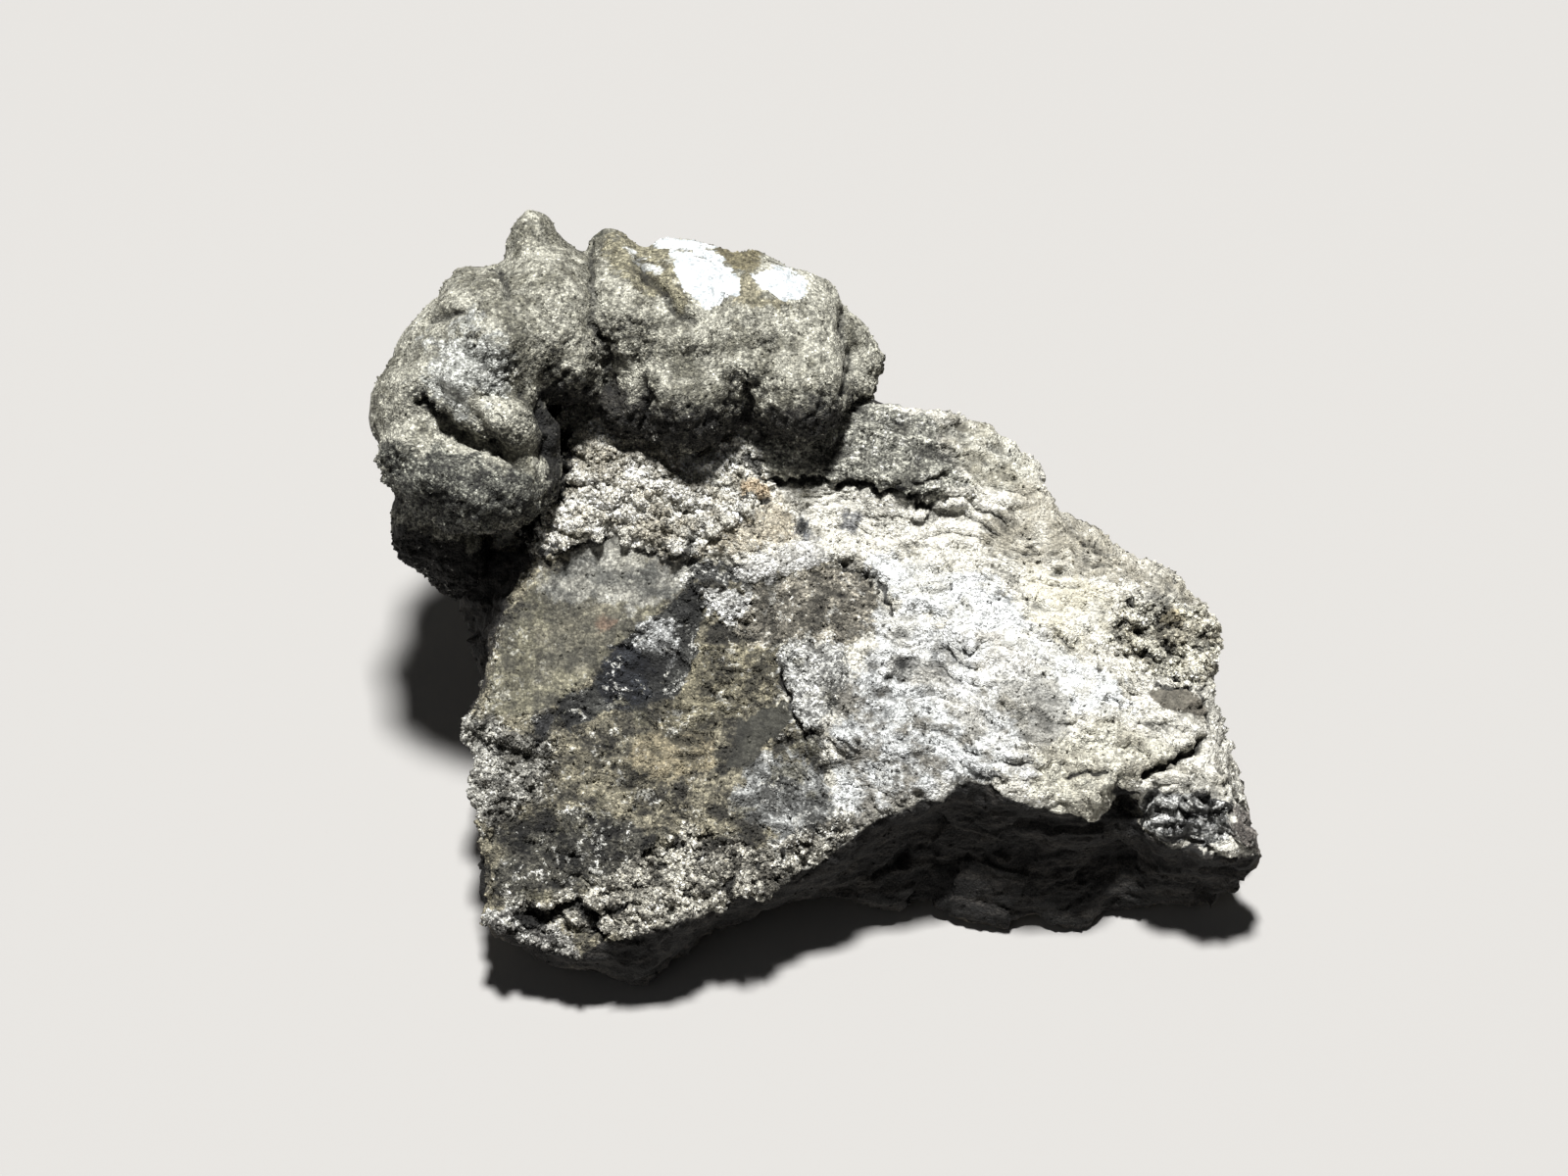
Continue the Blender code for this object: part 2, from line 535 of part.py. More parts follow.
def make_matrix(parts, helpers):
    """The host rock: a broken slab with its pale face up."""
    slab = new_object(MATRIX_NAME, slab_blank(helpers), parts)
    remesh(slab, MATRIX_VOXEL)
    raise_face(slab)
    slab.data.transform(lean_back())
    for _, point, normal in BACK_PLANES:
        place = Vector(point) + Vector((FACE_ORIGIN.x, FACE_ORIGIN.y, 0))
        cut_plane(slab, place, Vector(normal).normalized())
    cut_plane(slab, Vector((0, 0, UNDERSIDE_LIFT)), Vector((0, 0, -1)))
    keep_largest(slab)
    remesh(slab, MATRIX_VOXEL)
    roughen_sides(slab)
    remesh(slab, MATRIX_VOXEL)
    thin_out(slab, MATRIX_TRIANGLES)
    cut_plane(slab, Vector((0, 0, 0)), Vector((0, 0, -1)))
    keep_largest(slab)
    slab.data.materials.clear()
    slab.data.materials.append(new_material("host_rock", (0.42, 0.39, 0.33), 0.9))
    return slab


def lobe_ball(mesh, centre, half_widths):
    """Adds one lobe: a ball, stretched to its half-widths."""
    place = Matrix.Translation(centre) @ Matrix.Diagonal((*half_widths, 1))
    bmesh.ops.create_icosphere(mesh, subdivisions=4, radius=1.0, matrix=place)


def press_folds(obj):
    """Presses the folds between lobes into the side of the crust that faces the viewer."""
    moves = []
    for vert in obj.data.vertices:
        spot = vert.co.xy
        depth = 0.0
        for _, line, half_width, deep in FOLDS:
            near = distance_to_line(line, spot) / half_width
            if near < 3:
                depth = max(depth, deep * math.exp(-near * near))
        facing = soft_step(vert.normal.z, 0.0, 0.35) * soft_step(vert.co.z, -15.0, -9.0)
        moves.append(Vector((0, 0, -depth * facing)))
    for vert, move in zip(obj.data.vertices, moves):
        vert.co += move


def swell_lobes(obj):
    """Gives the lobes their uneven, finely knobbed skin."""
    moves = []
    for vert in obj.data.vertices:
        u, v, w = vert.co
        swell = 0.5 * grain(u, v, w, 6.0, 21) + 0.25 * grain(u, v, w, 2.6, 22)
        moves.append(vert.normal * swell)
    for vert, move in zip(obj.data.vertices, moves):
        vert.co += move


def grown_copy(obj, helpers):
    """A copy of the object, larger by the gap all round, to cut its neighbour with."""
    copy = new_object(obj.name + "_grown", obj.data.copy(), helpers, helper=True)
    modifier = copy.modifiers.new("grow", "DISPLACE")
    modifier.mid_level = 0.0
    modifier.strength = GAP
    bake_modifiers(copy)
    return copy


def make_crust(parts, helpers, slab):
    """The boussingaultite: lobes grown together over the top of the slab."""
    mesh = bmesh.new()
    for _, u, v, w, half_u, half_v, half_w in FRONT_LOBES + BACK_LOBES:
        lobe_ball(mesh, (u, v, w), (half_u, half_v, half_w))
    data = bpy.data.meshes.new(CRUST_NAME)
    mesh.to_mesh(data)
    mesh.free()
    crust = new_object(CRUST_NAME, data, parts)
    remesh(crust, CRUST_VOXEL)
    smooth(crust, 0.5, 5)
    press_folds(crust)
    swell_lobes(crust)
    crust.data.transform(lean_back())
    thin_out(crust, CRUST_TRIANGLES)
    cut(crust, grown_copy(slab, helpers))
    keep_largest(crust)
    crust.data.materials.clear()
    crust.data.materials.append(new_material("boussingaultite", (0.36, 0.33, 0.27), 0.85))
    return crust


def measure(obj):
    """Prints what was made."""
    obj.data.calc_loop_triangles()
    corners = [vert.co / MM for vert in obj.data.vertices]
    low = [min(corner[axis] for corner in corners) for axis in range(3)]
    high = [max(corner[axis] for corner in corners) for axis in range(3)]
    sizes = ", ".join(f"{a:.2f} to {b:.2f}" for a, b in zip(low, high))
    print(f"{obj.name}: {len(obj.data.loop_triangles)} triangles, {sizes} mm")


def main():
    clear_scene()
    parts = new_collection("boussingaultite")
    helpers = new_collection("cutters")
    slab = make_matrix(parts, helpers)
    crust = make_crust(parts, helpers, slab)
    for obj in (slab, crust):
        obj.data.transform(Matrix.Scale(MM, 4))
        obj.data.shade_smooth()
        obj.data.set_sharp_from_angle(angle=math.radians(40))
        measure(obj)


main()
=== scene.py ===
# %% [markdown]
# # A boussingaultite specimen
# The real specimen is two minerals grown together: a knobbly, sugary crust of boussingaultite,
# and the slab of host rock under it, pale and crumbly on its upper face and dark where it broke.
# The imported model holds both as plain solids. This lesson dresses them: a fine skin for each,
# grains strewn over the skins as real mesh, and two materials painted by place.

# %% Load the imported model
import json
import math

import bpy
import numpy as np
from mathutils import Matrix, Vector, noise

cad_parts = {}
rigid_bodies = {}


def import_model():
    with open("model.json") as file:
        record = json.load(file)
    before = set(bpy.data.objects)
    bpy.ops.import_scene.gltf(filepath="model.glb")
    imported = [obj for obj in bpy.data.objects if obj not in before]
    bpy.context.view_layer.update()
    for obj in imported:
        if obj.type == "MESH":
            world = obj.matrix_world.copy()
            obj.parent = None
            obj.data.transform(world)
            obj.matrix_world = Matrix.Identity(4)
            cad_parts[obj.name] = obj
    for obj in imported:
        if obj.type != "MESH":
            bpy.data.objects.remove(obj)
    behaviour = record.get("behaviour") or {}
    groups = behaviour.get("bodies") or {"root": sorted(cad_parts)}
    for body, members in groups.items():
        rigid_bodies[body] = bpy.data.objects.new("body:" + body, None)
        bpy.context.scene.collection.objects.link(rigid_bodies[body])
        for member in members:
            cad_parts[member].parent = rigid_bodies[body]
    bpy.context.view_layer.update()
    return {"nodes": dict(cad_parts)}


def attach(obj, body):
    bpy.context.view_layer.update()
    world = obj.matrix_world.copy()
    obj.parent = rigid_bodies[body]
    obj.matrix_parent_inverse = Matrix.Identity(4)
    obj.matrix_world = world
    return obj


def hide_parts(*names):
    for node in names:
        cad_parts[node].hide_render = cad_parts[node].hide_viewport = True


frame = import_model()
print("nodes:", sorted(frame["nodes"]))

# %% [markdown]
# ## One frame for looking and one for resting
# The specimen rests leaned back, so that its pale face looks up at the camera. It is easier to
# shape and paint it as the picture shows it: u to the right, v up the picture, w towards the eye,
# all in millimetres. Every skin is worked on in that face frame and leaned back at the end.

# %% The face frame
MM = 0.001
VIEW_TILT = math.radians(45)
FACE_ORIGIN = Vector((-3.45, -3.5, 31.0))
LEAN = math.pi / 2 - VIEW_TILT
TO_REST = Matrix.Scale(MM, 4) @ Matrix.Translation(FACE_ORIGIN) @ Matrix.Rotation(LEAN, 4, "X")
TO_FACE = TO_REST.inverted()
EYE_DISTANCE = 600.0

# %% [markdown]
# ## The camera
# The picture was taken from straight in front of the pale face. A long lens at 0.6 m gives the
# same mild perspective, and its width is set by how many pixels the specimen spans.

# %% Camera
PICTURE_WIDTH = 1600
PICTURE_HEIGHT = 1200
PIXEL = 0.1093
SENSOR = 36.0

camera = bpy.data.objects.new("camera", bpy.data.cameras.new("camera"))
bpy.context.scene.collection.objects.link(camera)
camera.data.sensor_width = SENSOR
camera.data.lens = SENSOR * EYE_DISTANCE / (PICTURE_WIDTH * PIXEL)
camera.data.clip_start = 0.01
camera.matrix_world = (
    Matrix.Translation(FACE_ORIGIN * MM)
    @ Matrix.Rotation(LEAN, 4, "X")
    @ Matrix.Translation((0, 0, EYE_DISTANCE * MM))
)
bpy.context.scene.camera = camera
print(f"lens {camera.data.lens:.1f} mm")

# %% [markdown]
# ## Small helpers for modelling by hand
# Operators act on everything that is selected, so each helper first selects one object alone.


# %% Helpers for objects
def select_only(obj):
    """Leaves one object selected and active."""
    bpy.ops.object.select_all(action="DESELECT")
    obj.select_set(True)
    bpy.context.view_layer.objects.active = obj


def apply_modifier(obj, kind, **settings):
    """Adds a modifier, sets it and applies it."""
    select_only(obj)
    modifier = obj.modifiers.new(kind.lower(), kind)
    for name, value in settings.items():
        setattr(modifier, name, value)
    bpy.ops.object.modifier_apply(modifier=modifier.name)


def triangle_count(obj):
    """How many triangles the object's mesh has."""
    obj.data.calc_loop_triangles()
    return len(obj.data.loop_triangles)


# %% [markdown]
# ## A fine skin round a plain solid
# The solid has flat faces 2 to 3 mm wide. A voxel remesh lays an even net over it, and a smooth
# pass rounds the flat faces off. A skin has to stay under 200,000 triangles, so the net is coarse
# at the back, finer on the sides and finest on the faces that the picture looks straight at.

# %% Skins
WELD = 0.005


def refine(skin, facing):
    """Halves the net on the faces that look at the eye by more than this."""
    select_only(skin)
    bpy.ops.object.mode_set(mode="EDIT")
    bpy.ops.mesh.select_mode(type="FACE")
    bpy.ops.mesh.select_all(action="DESELECT")
    bpy.ops.object.mode_set(mode="OBJECT")
    normals = np.empty(len(skin.data.polygons) * 3)
    skin.data.polygons.foreach_get("normal", normals)
    skin.data.polygons.foreach_set("select", normals.reshape(-1, 3)[:, 2] > facing)
    bpy.ops.object.mode_set(mode="EDIT")
    bpy.ops.mesh.subdivide(number_cuts=1)
    bpy.ops.object.mode_set(mode="OBJECT")


def skin_of(node, name, voxel, steps):
    """A fine, even skin round a copy of a node, in face-frame millimetres."""
    skin = bpy.data.objects.new(name, frame["nodes"][node].data.copy())
    bpy.context.scene.collection.objects.link(skin)
    skin.data.materials.clear()
    skin.data.transform(TO_FACE)
    select_only(skin)
    bpy.ops.object.mode_set(mode="EDIT")
    bpy.ops.mesh.select_all(action="SELECT")
    bpy.ops.mesh.remove_doubles(threshold=WELD)
    bpy.ops.object.mode_set(mode="OBJECT")
    apply_modifier(skin, "REMESH", mode="VOXEL", voxel_size=voxel)
    apply_modifier(skin, "SMOOTH", factor=0.5, iterations=3)
    for facing in steps:
        refine(skin, facing)
        apply_modifier(skin, "SMOOTH", factor=0.5, iterations=4)
    skin.data.shade_smooth()
    print(f"{name}: {triangle_count(skin)} triangles")
    return skin


rock = skin_of("matrix", "rock_skin", voxel=1.3, steps=(-0.25, 0.5))
crust = skin_of("boussingaultite_crust", "crust_skin", voxel=0.54, steps=(0.08,))

# %% [markdown]
# ## Where things are on the specimen
# Patches, cracks and folds were read off the picture, so their places are kept as its pixels, and
# one function turns a pixel into millimetres on the plane of the face. A point of the skin is
# looked up where the eye sees it, which takes out the lens's perspective. The relief is worked out
# for all points of a skin at once, as arrays, from smooth noise, round domes and tilted chips.


# %% Places
def on_face(px, py):
    """Where a pixel of the picture lies on the plane of the face, in millimetres."""
    return ((px - PICTURE_WIDTH / 2) * PIXEL, (PICTURE_HEIGHT / 2 - py) * PIXEL)


class Surface:
    """The points of a skin as arrays: where they are, which way they look and where they are seen."""

    def __init__(self, skin):
        mesh = skin.data
        self.count = len(mesh.vertices)
        flat = np.empty(self.count * 3)
        mesh.vertices.foreach_get("co", flat)
        self.points = flat.reshape(-1, 3).copy()
        mesh.vertices.foreach_get("normal", flat)
        self.normals = flat.reshape(-1, 3).copy()
        self.u, self.v, self.w = self.points.T
        shrink = 1 - self.w / EYE_DISTANCE
        self.seen = np.stack([self.u / shrink, self.v / shrink], axis=1)
        self.facing = self.normals[:, 2]

    def noise(self, size, seed, stretch=(1, 1, 1)):
        """Smooth noise between about -1 and 1, with lumps of this size in millimetres."""
        scaled = self.points / (np.array(stretch) * size) + np.array((17.3, -9.1, 4.7)) * seed
        return np.array([1.8 * noise.noise(Vector(point)) for point in scaled])

    def domes(self, size, seed):
        """Packed round crumbs of this size: 1 on top of each, 0 in the gaps."""
        scaled = self.points / size + np.array((3.1, -1.7, 2.3)) * seed
        near = np.array([noise.voronoi(Vector(point))[0][0] for point in scaled])
        return np.clip(1 - (near / 0.75) ** 2, 0, 1)

    def chips(self, size, seed, stretch=(1, 1, 1)):
        """Flat flakes of this size, each tilted its own way, between about -1 and 1."""
        scaled = self.points / (np.array(stretch) * size) + np.array((5.1, 2.7, -3.3)) * seed
        heights = np.empty(self.count)
        for index, spot in enumerate(scaled):
            spot = Vector(spot)
            centre = noise.voronoi(spot)[1][0]
            tilt = noise.cell_vector(centre * 7.7) * 2 - Vector((1, 1, 1))
            heights[index] = (spot - centre).dot(tilt) + 0.4 * tilt.x
        return heights


# %% [markdown]
# ## Distances on the picture
# A patch's edge, a crack and the lower rim are all distances: from an outline, from a line, and
# above a line. A smooth step turns a distance into a share between 0 and 1.


# %% Distances
def rise(x, low, high):
    """0 below low, 1 above high, and a smooth rise between."""
    t = np.clip((x - low) / (high - low), 0, 1)
    return t * t * (3 - 2 * t)


def line_distance(line, points):
    """How far each seen point is from a line drawn on the picture, in millimetres."""
    corners = np.array([on_face(*corner) for corner in line])
    nearest = np.full(len(points), np.inf)
    for a, b in zip(corners, corners[1:]):
        along = b - a
        t = np.clip(((points - a) @ along) / (along @ along), 0, 1)
        nearest = np.minimum(nearest, np.linalg.norm(points - a - t[:, None] * along, axis=1))
    return nearest


def inside(outline, points):
    """How far inside an outline each seen point is, in millimetres, and outside it minus that."""
    corners = np.array([on_face(*corner) for corner in outline])
    within = np.zeros(len(points), bool)
    for a, b in zip(corners, np.roll(corners, -1, axis=0)):
        crosses = (a[1] > points[:, 1]) != (b[1] > points[:, 1])
        slope = (b[0] - a[0]) / ((b[1] - a[1]) or WELD)
        within ^= crosses & (points[:, 0] < a[0] + (points[:, 1] - a[1]) * slope)
    nearest = line_distance([*outline, outline[0]], points)
    return np.where(within, nearest, -nearest)


def above(line, points):
    """How far each seen point is above a line drawn from left to right, in millimetres."""
    corners = np.array([on_face(*corner) for corner in line])
    return points[:, 1] - np.interp(points[:, 0], corners[:, 0], corners[:, 1])


# %% [markdown]
# ## The patches of the rock's pale face
# Each patch has its outline in pixels of the picture, with only the points that its shape needs.
# The edges are broken up by noise later, in the material.

# %% Patches of the rock
ROCK_PATCHES = {
    "left_ground": (
        (470, 560), (560, 550), (680, 562), (760, 572), (850, 568), (905, 596), (905, 645), (860, 660),
        (805, 664), (796, 700), (806, 738), (850, 780), (856, 850), (700, 940), (600, 990), (470, 990),
    ),
    "veil": (
        (850, 720), (905, 640), (960, 640), (1030, 690), (1050, 760), (1000, 800), (900, 850), (850, 860),
    ),
    "right_strip": (
        (1060, 480), (1090, 520), (1150, 550), (1230, 590), (1250, 630), (1190, 610), (1120, 590),
        (1060, 575), (1003, 560), (1000, 529),
    ),
    "film_shadow": ((545, 640), (600, 612), (645, 618), (650, 640), (600, 680), (555, 690)),
    "white_front": (
        (850, 698), (896, 679), (995, 701), (1041, 747), (1034, 793), (995, 786), (950, 805), (896, 828),
        (850, 858),
    ),
    "whitest": (
        (888, 571), (995, 579), (1034, 625), (1141, 698), (1156, 736), (1095, 724), (1041, 698), (995, 667),
        (942, 625), (896, 610),
    ),
    "cream_lumps": ((1041, 579), (1095, 579), (1141, 610), (1141, 656), (1095, 663), (1049, 625)),
    "cream_top": ((950, 430), (1003, 424), (1057, 476), (1080, 522), (1030, 506), (992, 487), (972, 457)),
    "smooth_grey": (
        (1007, 682), (1030, 675), (1087, 705), (1095, 736), (1091, 763), (1057, 767), (1038, 744),
        (1050, 717), (1015, 701),
    ),
    "lower_cream": (
        (1064, 763), (1118, 736), (1168, 747), (1217, 763), (1168, 786), (1133, 828), (1095, 832),
        (1064, 816), (1041, 793),
    ),
    "crumbly_right": (
        (1141, 617), (1194, 610), (1250, 629), (1250, 663), (1233, 698), (1194, 694), (1156, 679),
        (1133, 648),
    ),
    "brown_wedge": (
        (1170, 708), (1187, 700), (1212, 703), (1236, 718), (1232, 730), (1210, 728), (1188, 721),
    ),
    "sandy_layer": (
        (765, 470), (790, 430), (850, 405), (896, 410), (946, 426), (969, 453), (980, 495), (950, 514),
        (900, 502), (845, 492), (799, 493), (782, 487),
    ),
    "grey_mottle": (
        (756, 786), (786, 763), (824, 774), (847, 786), (851, 836), (836, 862), (801, 862), (763, 843),
        (748, 813),
    ),
    "speckled_white": (
        (798, 660), (824, 656), (859, 660), (863, 698), (847, 736), (824, 751), (809, 713), (794, 690),
    ),
    # Painted shade: the left side stays broken rock, nearly black.
    "shaded_left_side": (
        (470, 560), (545, 565), (520, 610), (506, 650), (497, 700), (482, 725), (470, 700),
    ),
    "mottled_low": (
        (503, 847), (557, 832), (645, 836), (687, 847), (671, 885), (618, 912), (541, 920), (507, 908),
    ),
    "ochre_middle": (
        (645, 744), (694, 732), (733, 751), (725, 786), (694, 797), (648, 790), (641, 763),
    ),
    "olive_brown": (
        (700, 644), (771, 660), (801, 656), (803, 709), (763, 725), (729, 748), (680, 748), (660, 721),
        (680, 694),
    ),
    "brown_granular": (
        (763, 598), (805, 585), (847, 577), (886, 587), (905, 614), (897, 644), (859, 654), (817, 658),
        (771, 660), (740, 637),
    ),
    "dark_grey_top": ((694, 574), (725, 570), (756, 577), (763, 593), (733, 600), (706, 595)),
    "tan_film": (
        (540, 602), (560, 580), (604, 580), (645, 590), (689, 600), (664, 637), (627, 662), (599, 698),
        (562, 721), (530, 732), (499, 727), (503, 694), (515, 644),
    ),
    "grey_film": (
        (549, 602), (572, 568), (606, 552), (637, 541), (652, 562), (694, 572), (704, 595), (687, 614),
        (645, 618), (614, 608), (580, 614),
    ),
    "charcoal": (
        (689, 610), (704, 591), (725, 598), (713, 633), (710, 667), (694, 698), (656, 727), (625, 725),
        (583, 744), (567, 729), (567, 717), (599, 698), (629, 660), (664, 633),
    ),
    "charcoal_core": ((625, 660), (648, 656), (668, 675), (664, 706), (648, 725), (625, 715), (606, 698)),
    "smooth_dark": ((752, 736), (800, 716), (803, 732), (782, 759), (763, 782), (742, 786), (744, 755)),
    "tan_band": (
        (679, 569), (706, 560), (729, 545), (756, 526), (786, 510), (813, 522), (821, 545), (801, 556),
        (763, 566), (725, 562), (694, 564),
    ),
    "white_ridge": (
        (748, 577), (771, 564), (809, 554), (836, 554), (845, 568), (817, 581), (782, 586), (756, 588),
    ),
    "crumb_crust": (
        (541, 568), (570, 560), (591, 554), (622, 541), (637, 539), (646, 558), (675, 569), (706, 560),
        (729, 545), (756, 526), (782, 508), (786, 495), (771, 464), (748, 445), (694, 440), (664, 435),
        (610, 430), (575, 460), (555, 520), (530, 556),
    ),
    "left_crumbs": (
        (470, 725), (503, 736), (530, 748), (568, 755), (560, 786), (549, 817), (503, 843), (475, 836),
    ),
    "white_flecks": ((654, 639), (690, 633), (692, 671), (671, 675), (648, 660)),
    "white_cluster": ((710, 602), (733, 598), (765, 610), (761, 625), (744, 637), (725, 621)),
    "edge_crumbs": (
        (520, 918), (591, 914), (632, 896), (668, 856), (700, 846), (748, 862), (794, 866), (860, 830),
        (870, 850), (801, 905), (779, 924), (717, 945), (656, 960), (610, 950), (572, 934), (520, 949),
    ),
    "corner_block": ((500, 930), (557, 939), (587, 960), (598, 980), (560, 985), (505, 960)),
    "shiny_facets": (
        (1152, 835), (1170, 808), (1233, 809), (1258, 820), (1256, 851), (1225, 864), (1187, 858),
    ),
    "curl_shadow": (
        (545, 440), (580, 436), (592, 460), (584, 500), (566, 538), (548, 566), (528, 570), (535, 500),
    ),
    "orange_flake": ((757, 499), (770, 493), (785, 497), (786, 506), (770, 510), (758, 507)),
    "red_brown_spot": ((604, 634), (617, 627), (630, 633), (624, 645), (609, 644)),
    "grey_spot": ((811, 526), (820, 520), (826, 534), (822, 549), (812, 545)),
    "grey_spot_right": ((852, 530), (862, 522), (876, 529), (872, 545), (858, 544)),
    "grey_hollow": ((906, 674), (920, 668), (936, 675), (928, 690), (912, 689)),
    "black_patch": ((544, 738), (557, 722), (567, 730), (560, 750), (551, 765), (544, 755)),
    "ochre_spot": ((1190, 630), (1200, 624), (1212, 630), (1202, 637)),
    "grey_band": (
        (985, 640), (1015, 650), (1062, 680), (1040, 690), (1010, 690), (975, 680), (965, 655),
    ),
    "bright_middle": ((895, 612), (945, 630), (1000, 665), (1000, 700), (950, 696), (896, 682)),
    "white_band": (
        (888, 640), (930, 652), (985, 690), (1030, 745), (1060, 790), (1040, 800), (1000, 760), (950, 710),
        (900, 680),
    ),
    "corner_tip": ((1259, 820), (1285, 825), (1300, 855), (1298, 876), (1271, 866), (1256, 851)),
}
LIT_EDGE = (
    (430, 940), (503, 943), (560, 968), (593, 977), (613, 963), (780, 914), (803, 895), (844, 881),
    (870, 854), (895, 838), (941, 819), (961, 817), (984, 796), (996, 796), (1012, 806), (1051, 824),
    (1120, 837), (1139, 822), (1165, 848), (1202, 865), (1258, 874), (1294, 872), (1340, 872),
)

# %% [markdown]
# ## Cracks and pits
# A crack is a line with half its width and its depth. A pit is one point of the picture, with its
# radius and its depth. Widths and depths are in millimetres. Both are pressed into the skin, and
# the same notches later darken the material as painted shade.

# %% Cracks and pits of the rock
ROCK_CRACKS = (
    ("under_sandy_layer", ((764, 465), (782, 487), (799, 493), (842, 493)), 0.36, 1.2),
    ("under_sandy_layer_right", ((855, 498), (881, 498), (916, 504), (933, 513), (953, 518)), 0.34, 1.5),
    ("curved_crack", ((855, 573), (873, 580), (890, 586), (901, 597), (905, 612), (912, 621)), 0.32, 1.4),
    ("step_of_white_crust", ((797, 688), (803, 705), (811, 730), (824, 751)), 0.42, 1.6),
    (
        "diagonal_crack",
        ((1168, 792), (1181, 782), (1196, 781), (1211, 768), (1220, 767), (1230, 752)),
        0.36, 1.9,
    ),
    ("under_flake", ((758, 508), (772, 513), (786, 508)), 0.36, 1.2),
    ("edge_of_crumb_crust", ((553, 566), (575, 560), (600, 553), (622, 545)), 0.30, 0.6),
    ("edge_of_crumb_crust_right", ((656, 562), (682, 570), (706, 560)), 0.30, 0.6),
    ("lower_lip_crack", ((1090, 795), (1112, 789), (1128, 791)), 0.22, 0.6),
    ("over_brown_wedge", ((1178, 699), (1200, 700), (1218, 706), (1234, 716)), 0.28, 0.8),
    ("right_upper_crack", ((1185, 640), (1200, 633), (1214, 637)), 0.25, 0.7),
    ("left_hollow_crack", ((528, 930), (545, 938), (565, 936)), 0.45, 1.4),
    ("arch_crack", ((566, 932), (585, 925), (603, 935), (612, 955)), 0.60, 2.2),
    ("slot_crack", ((622, 930), (636, 925), (653, 924)), 0.40, 1.6),
)
ROCK_PITS = (
    ("gap_by_the_corner", 1148, 825, 1.5, 2.4),
    ("right_pit", 1162, 643, 0.9, 1.3),
    ("right_hole", 1122, 682, 0.5, 0.8),
    ("grey_dimple", 920, 677, 1.0, 0.6),
    ("dark_dimple", 818, 536, 0.9, 0.6),
    ("left_hollow", 543, 937, 1.8, 2.6),
    ("hollow_by_the_step", 840, 785, 0.8, 0.5),
)


# %% [markdown]
# ## Patch weights and heights
# Some patches stand a little above their neighbours, and some lie lower, where a layer of crust
# has come off. A patch's weight is 1 inside its outline and 0 outside, over a ragged edge.


# %% Patch weights and heights
PATCH_EDGE = 0.5
ROCK_LIFTS = {
    "crumb_crust": 0.7, "left_crumbs": 0.4, "edge_crumbs": 0.5, "speckled_white": 0.8, "white_cluster": 0.5,
    "white_flecks": 0.3, "white_ridge": 0.5, "whitest": 0.3, "lower_cream": 0.4, "corner_block": 0.4,
    "charcoal": -0.3, "smooth_dark": -0.3, "brown_granular": -0.3, "smooth_grey": -0.3, "brown_wedge": -0.3,
    "shiny_facets": -0.5, "tan_band": 0.2,
}


def patch_weights(surface, patches, softness):
    """Each patch's distance field, and a weight from it that rises over a ragged edge."""
    ragged = 0.8 * surface.noise(3.0, 21) + 0.4 * surface.noise(1.2, 22)
    fields = {name: inside(outline, surface.seen) for name, outline in patches.items()}
    weights = {name: rise(field + ragged, -softness, softness) for name, field in fields.items()}
    return fields, weights


# %% [markdown]
# ## Layers and ledges
# The rock is bedded: where it broke, thin and thick layers show as steps. On the pale face the
# same habit shows as small slanting ledges. Both are saw-tooth waves, bent by noise.


# %% Layers and ledges
BEDDING = (0.04, 0.80, 0.60)
THICK_LAYER = 2.6
THIN_LAYER = 0.9
LEDGE_SLANT = 0.35
LARGE_LEDGE = 2.6
SMALL_LEDGE = 1.4


def saw(distance, spacing):
    """A saw-tooth wave between -0.5 and 0.5."""
    return (distance / spacing) % 1.0 - 0.5


def rock_layers(surface):
    """Thin layers of the broken rock: steps across its bedding, bent by slow noise."""
    bed = surface.v * BEDDING[1] + surface.w * BEDDING[2] + BEDDING[0] * surface.u
    bed = bed + 2.4 * surface.noise(18.0, 31) + 0.6 * surface.noise(5.0, 32)
    patchy = 0.5 + surface.noise(7.0, 33)
    return 0.6 * saw(bed, THICK_LAYER) + 0.28 * saw(bed, THIN_LAYER) * patchy


def terraces(surface, spacing, seed):
    """Small ledges whose steep sides look down the picture, here and there, about -0.5 to 0.5."""
    slanted = surface.v + LEDGE_SLANT * surface.u + 2.2 * surface.noise(9.0, seed)
    slanted = slanted + 0.8 * surface.noise(2.6, seed + 1)
    return saw(-slanted, spacing) * rise(surface.noise(4.5, seed + 2), -0.4, 0.2)


# %% [markdown]
# ## The rock's relief
# The pale face is crumbly at the top left and along its lower edge, calm where a tan film covers
# it, and streaked and porous in the white part. The broken sides show the rock's layers. Each
# kind of roughness is a sum of noises, weighted by the patch that it belongs to. A noise has its
# size in millimetres and its seed, and what it is multiplied by is its height in millimetres.


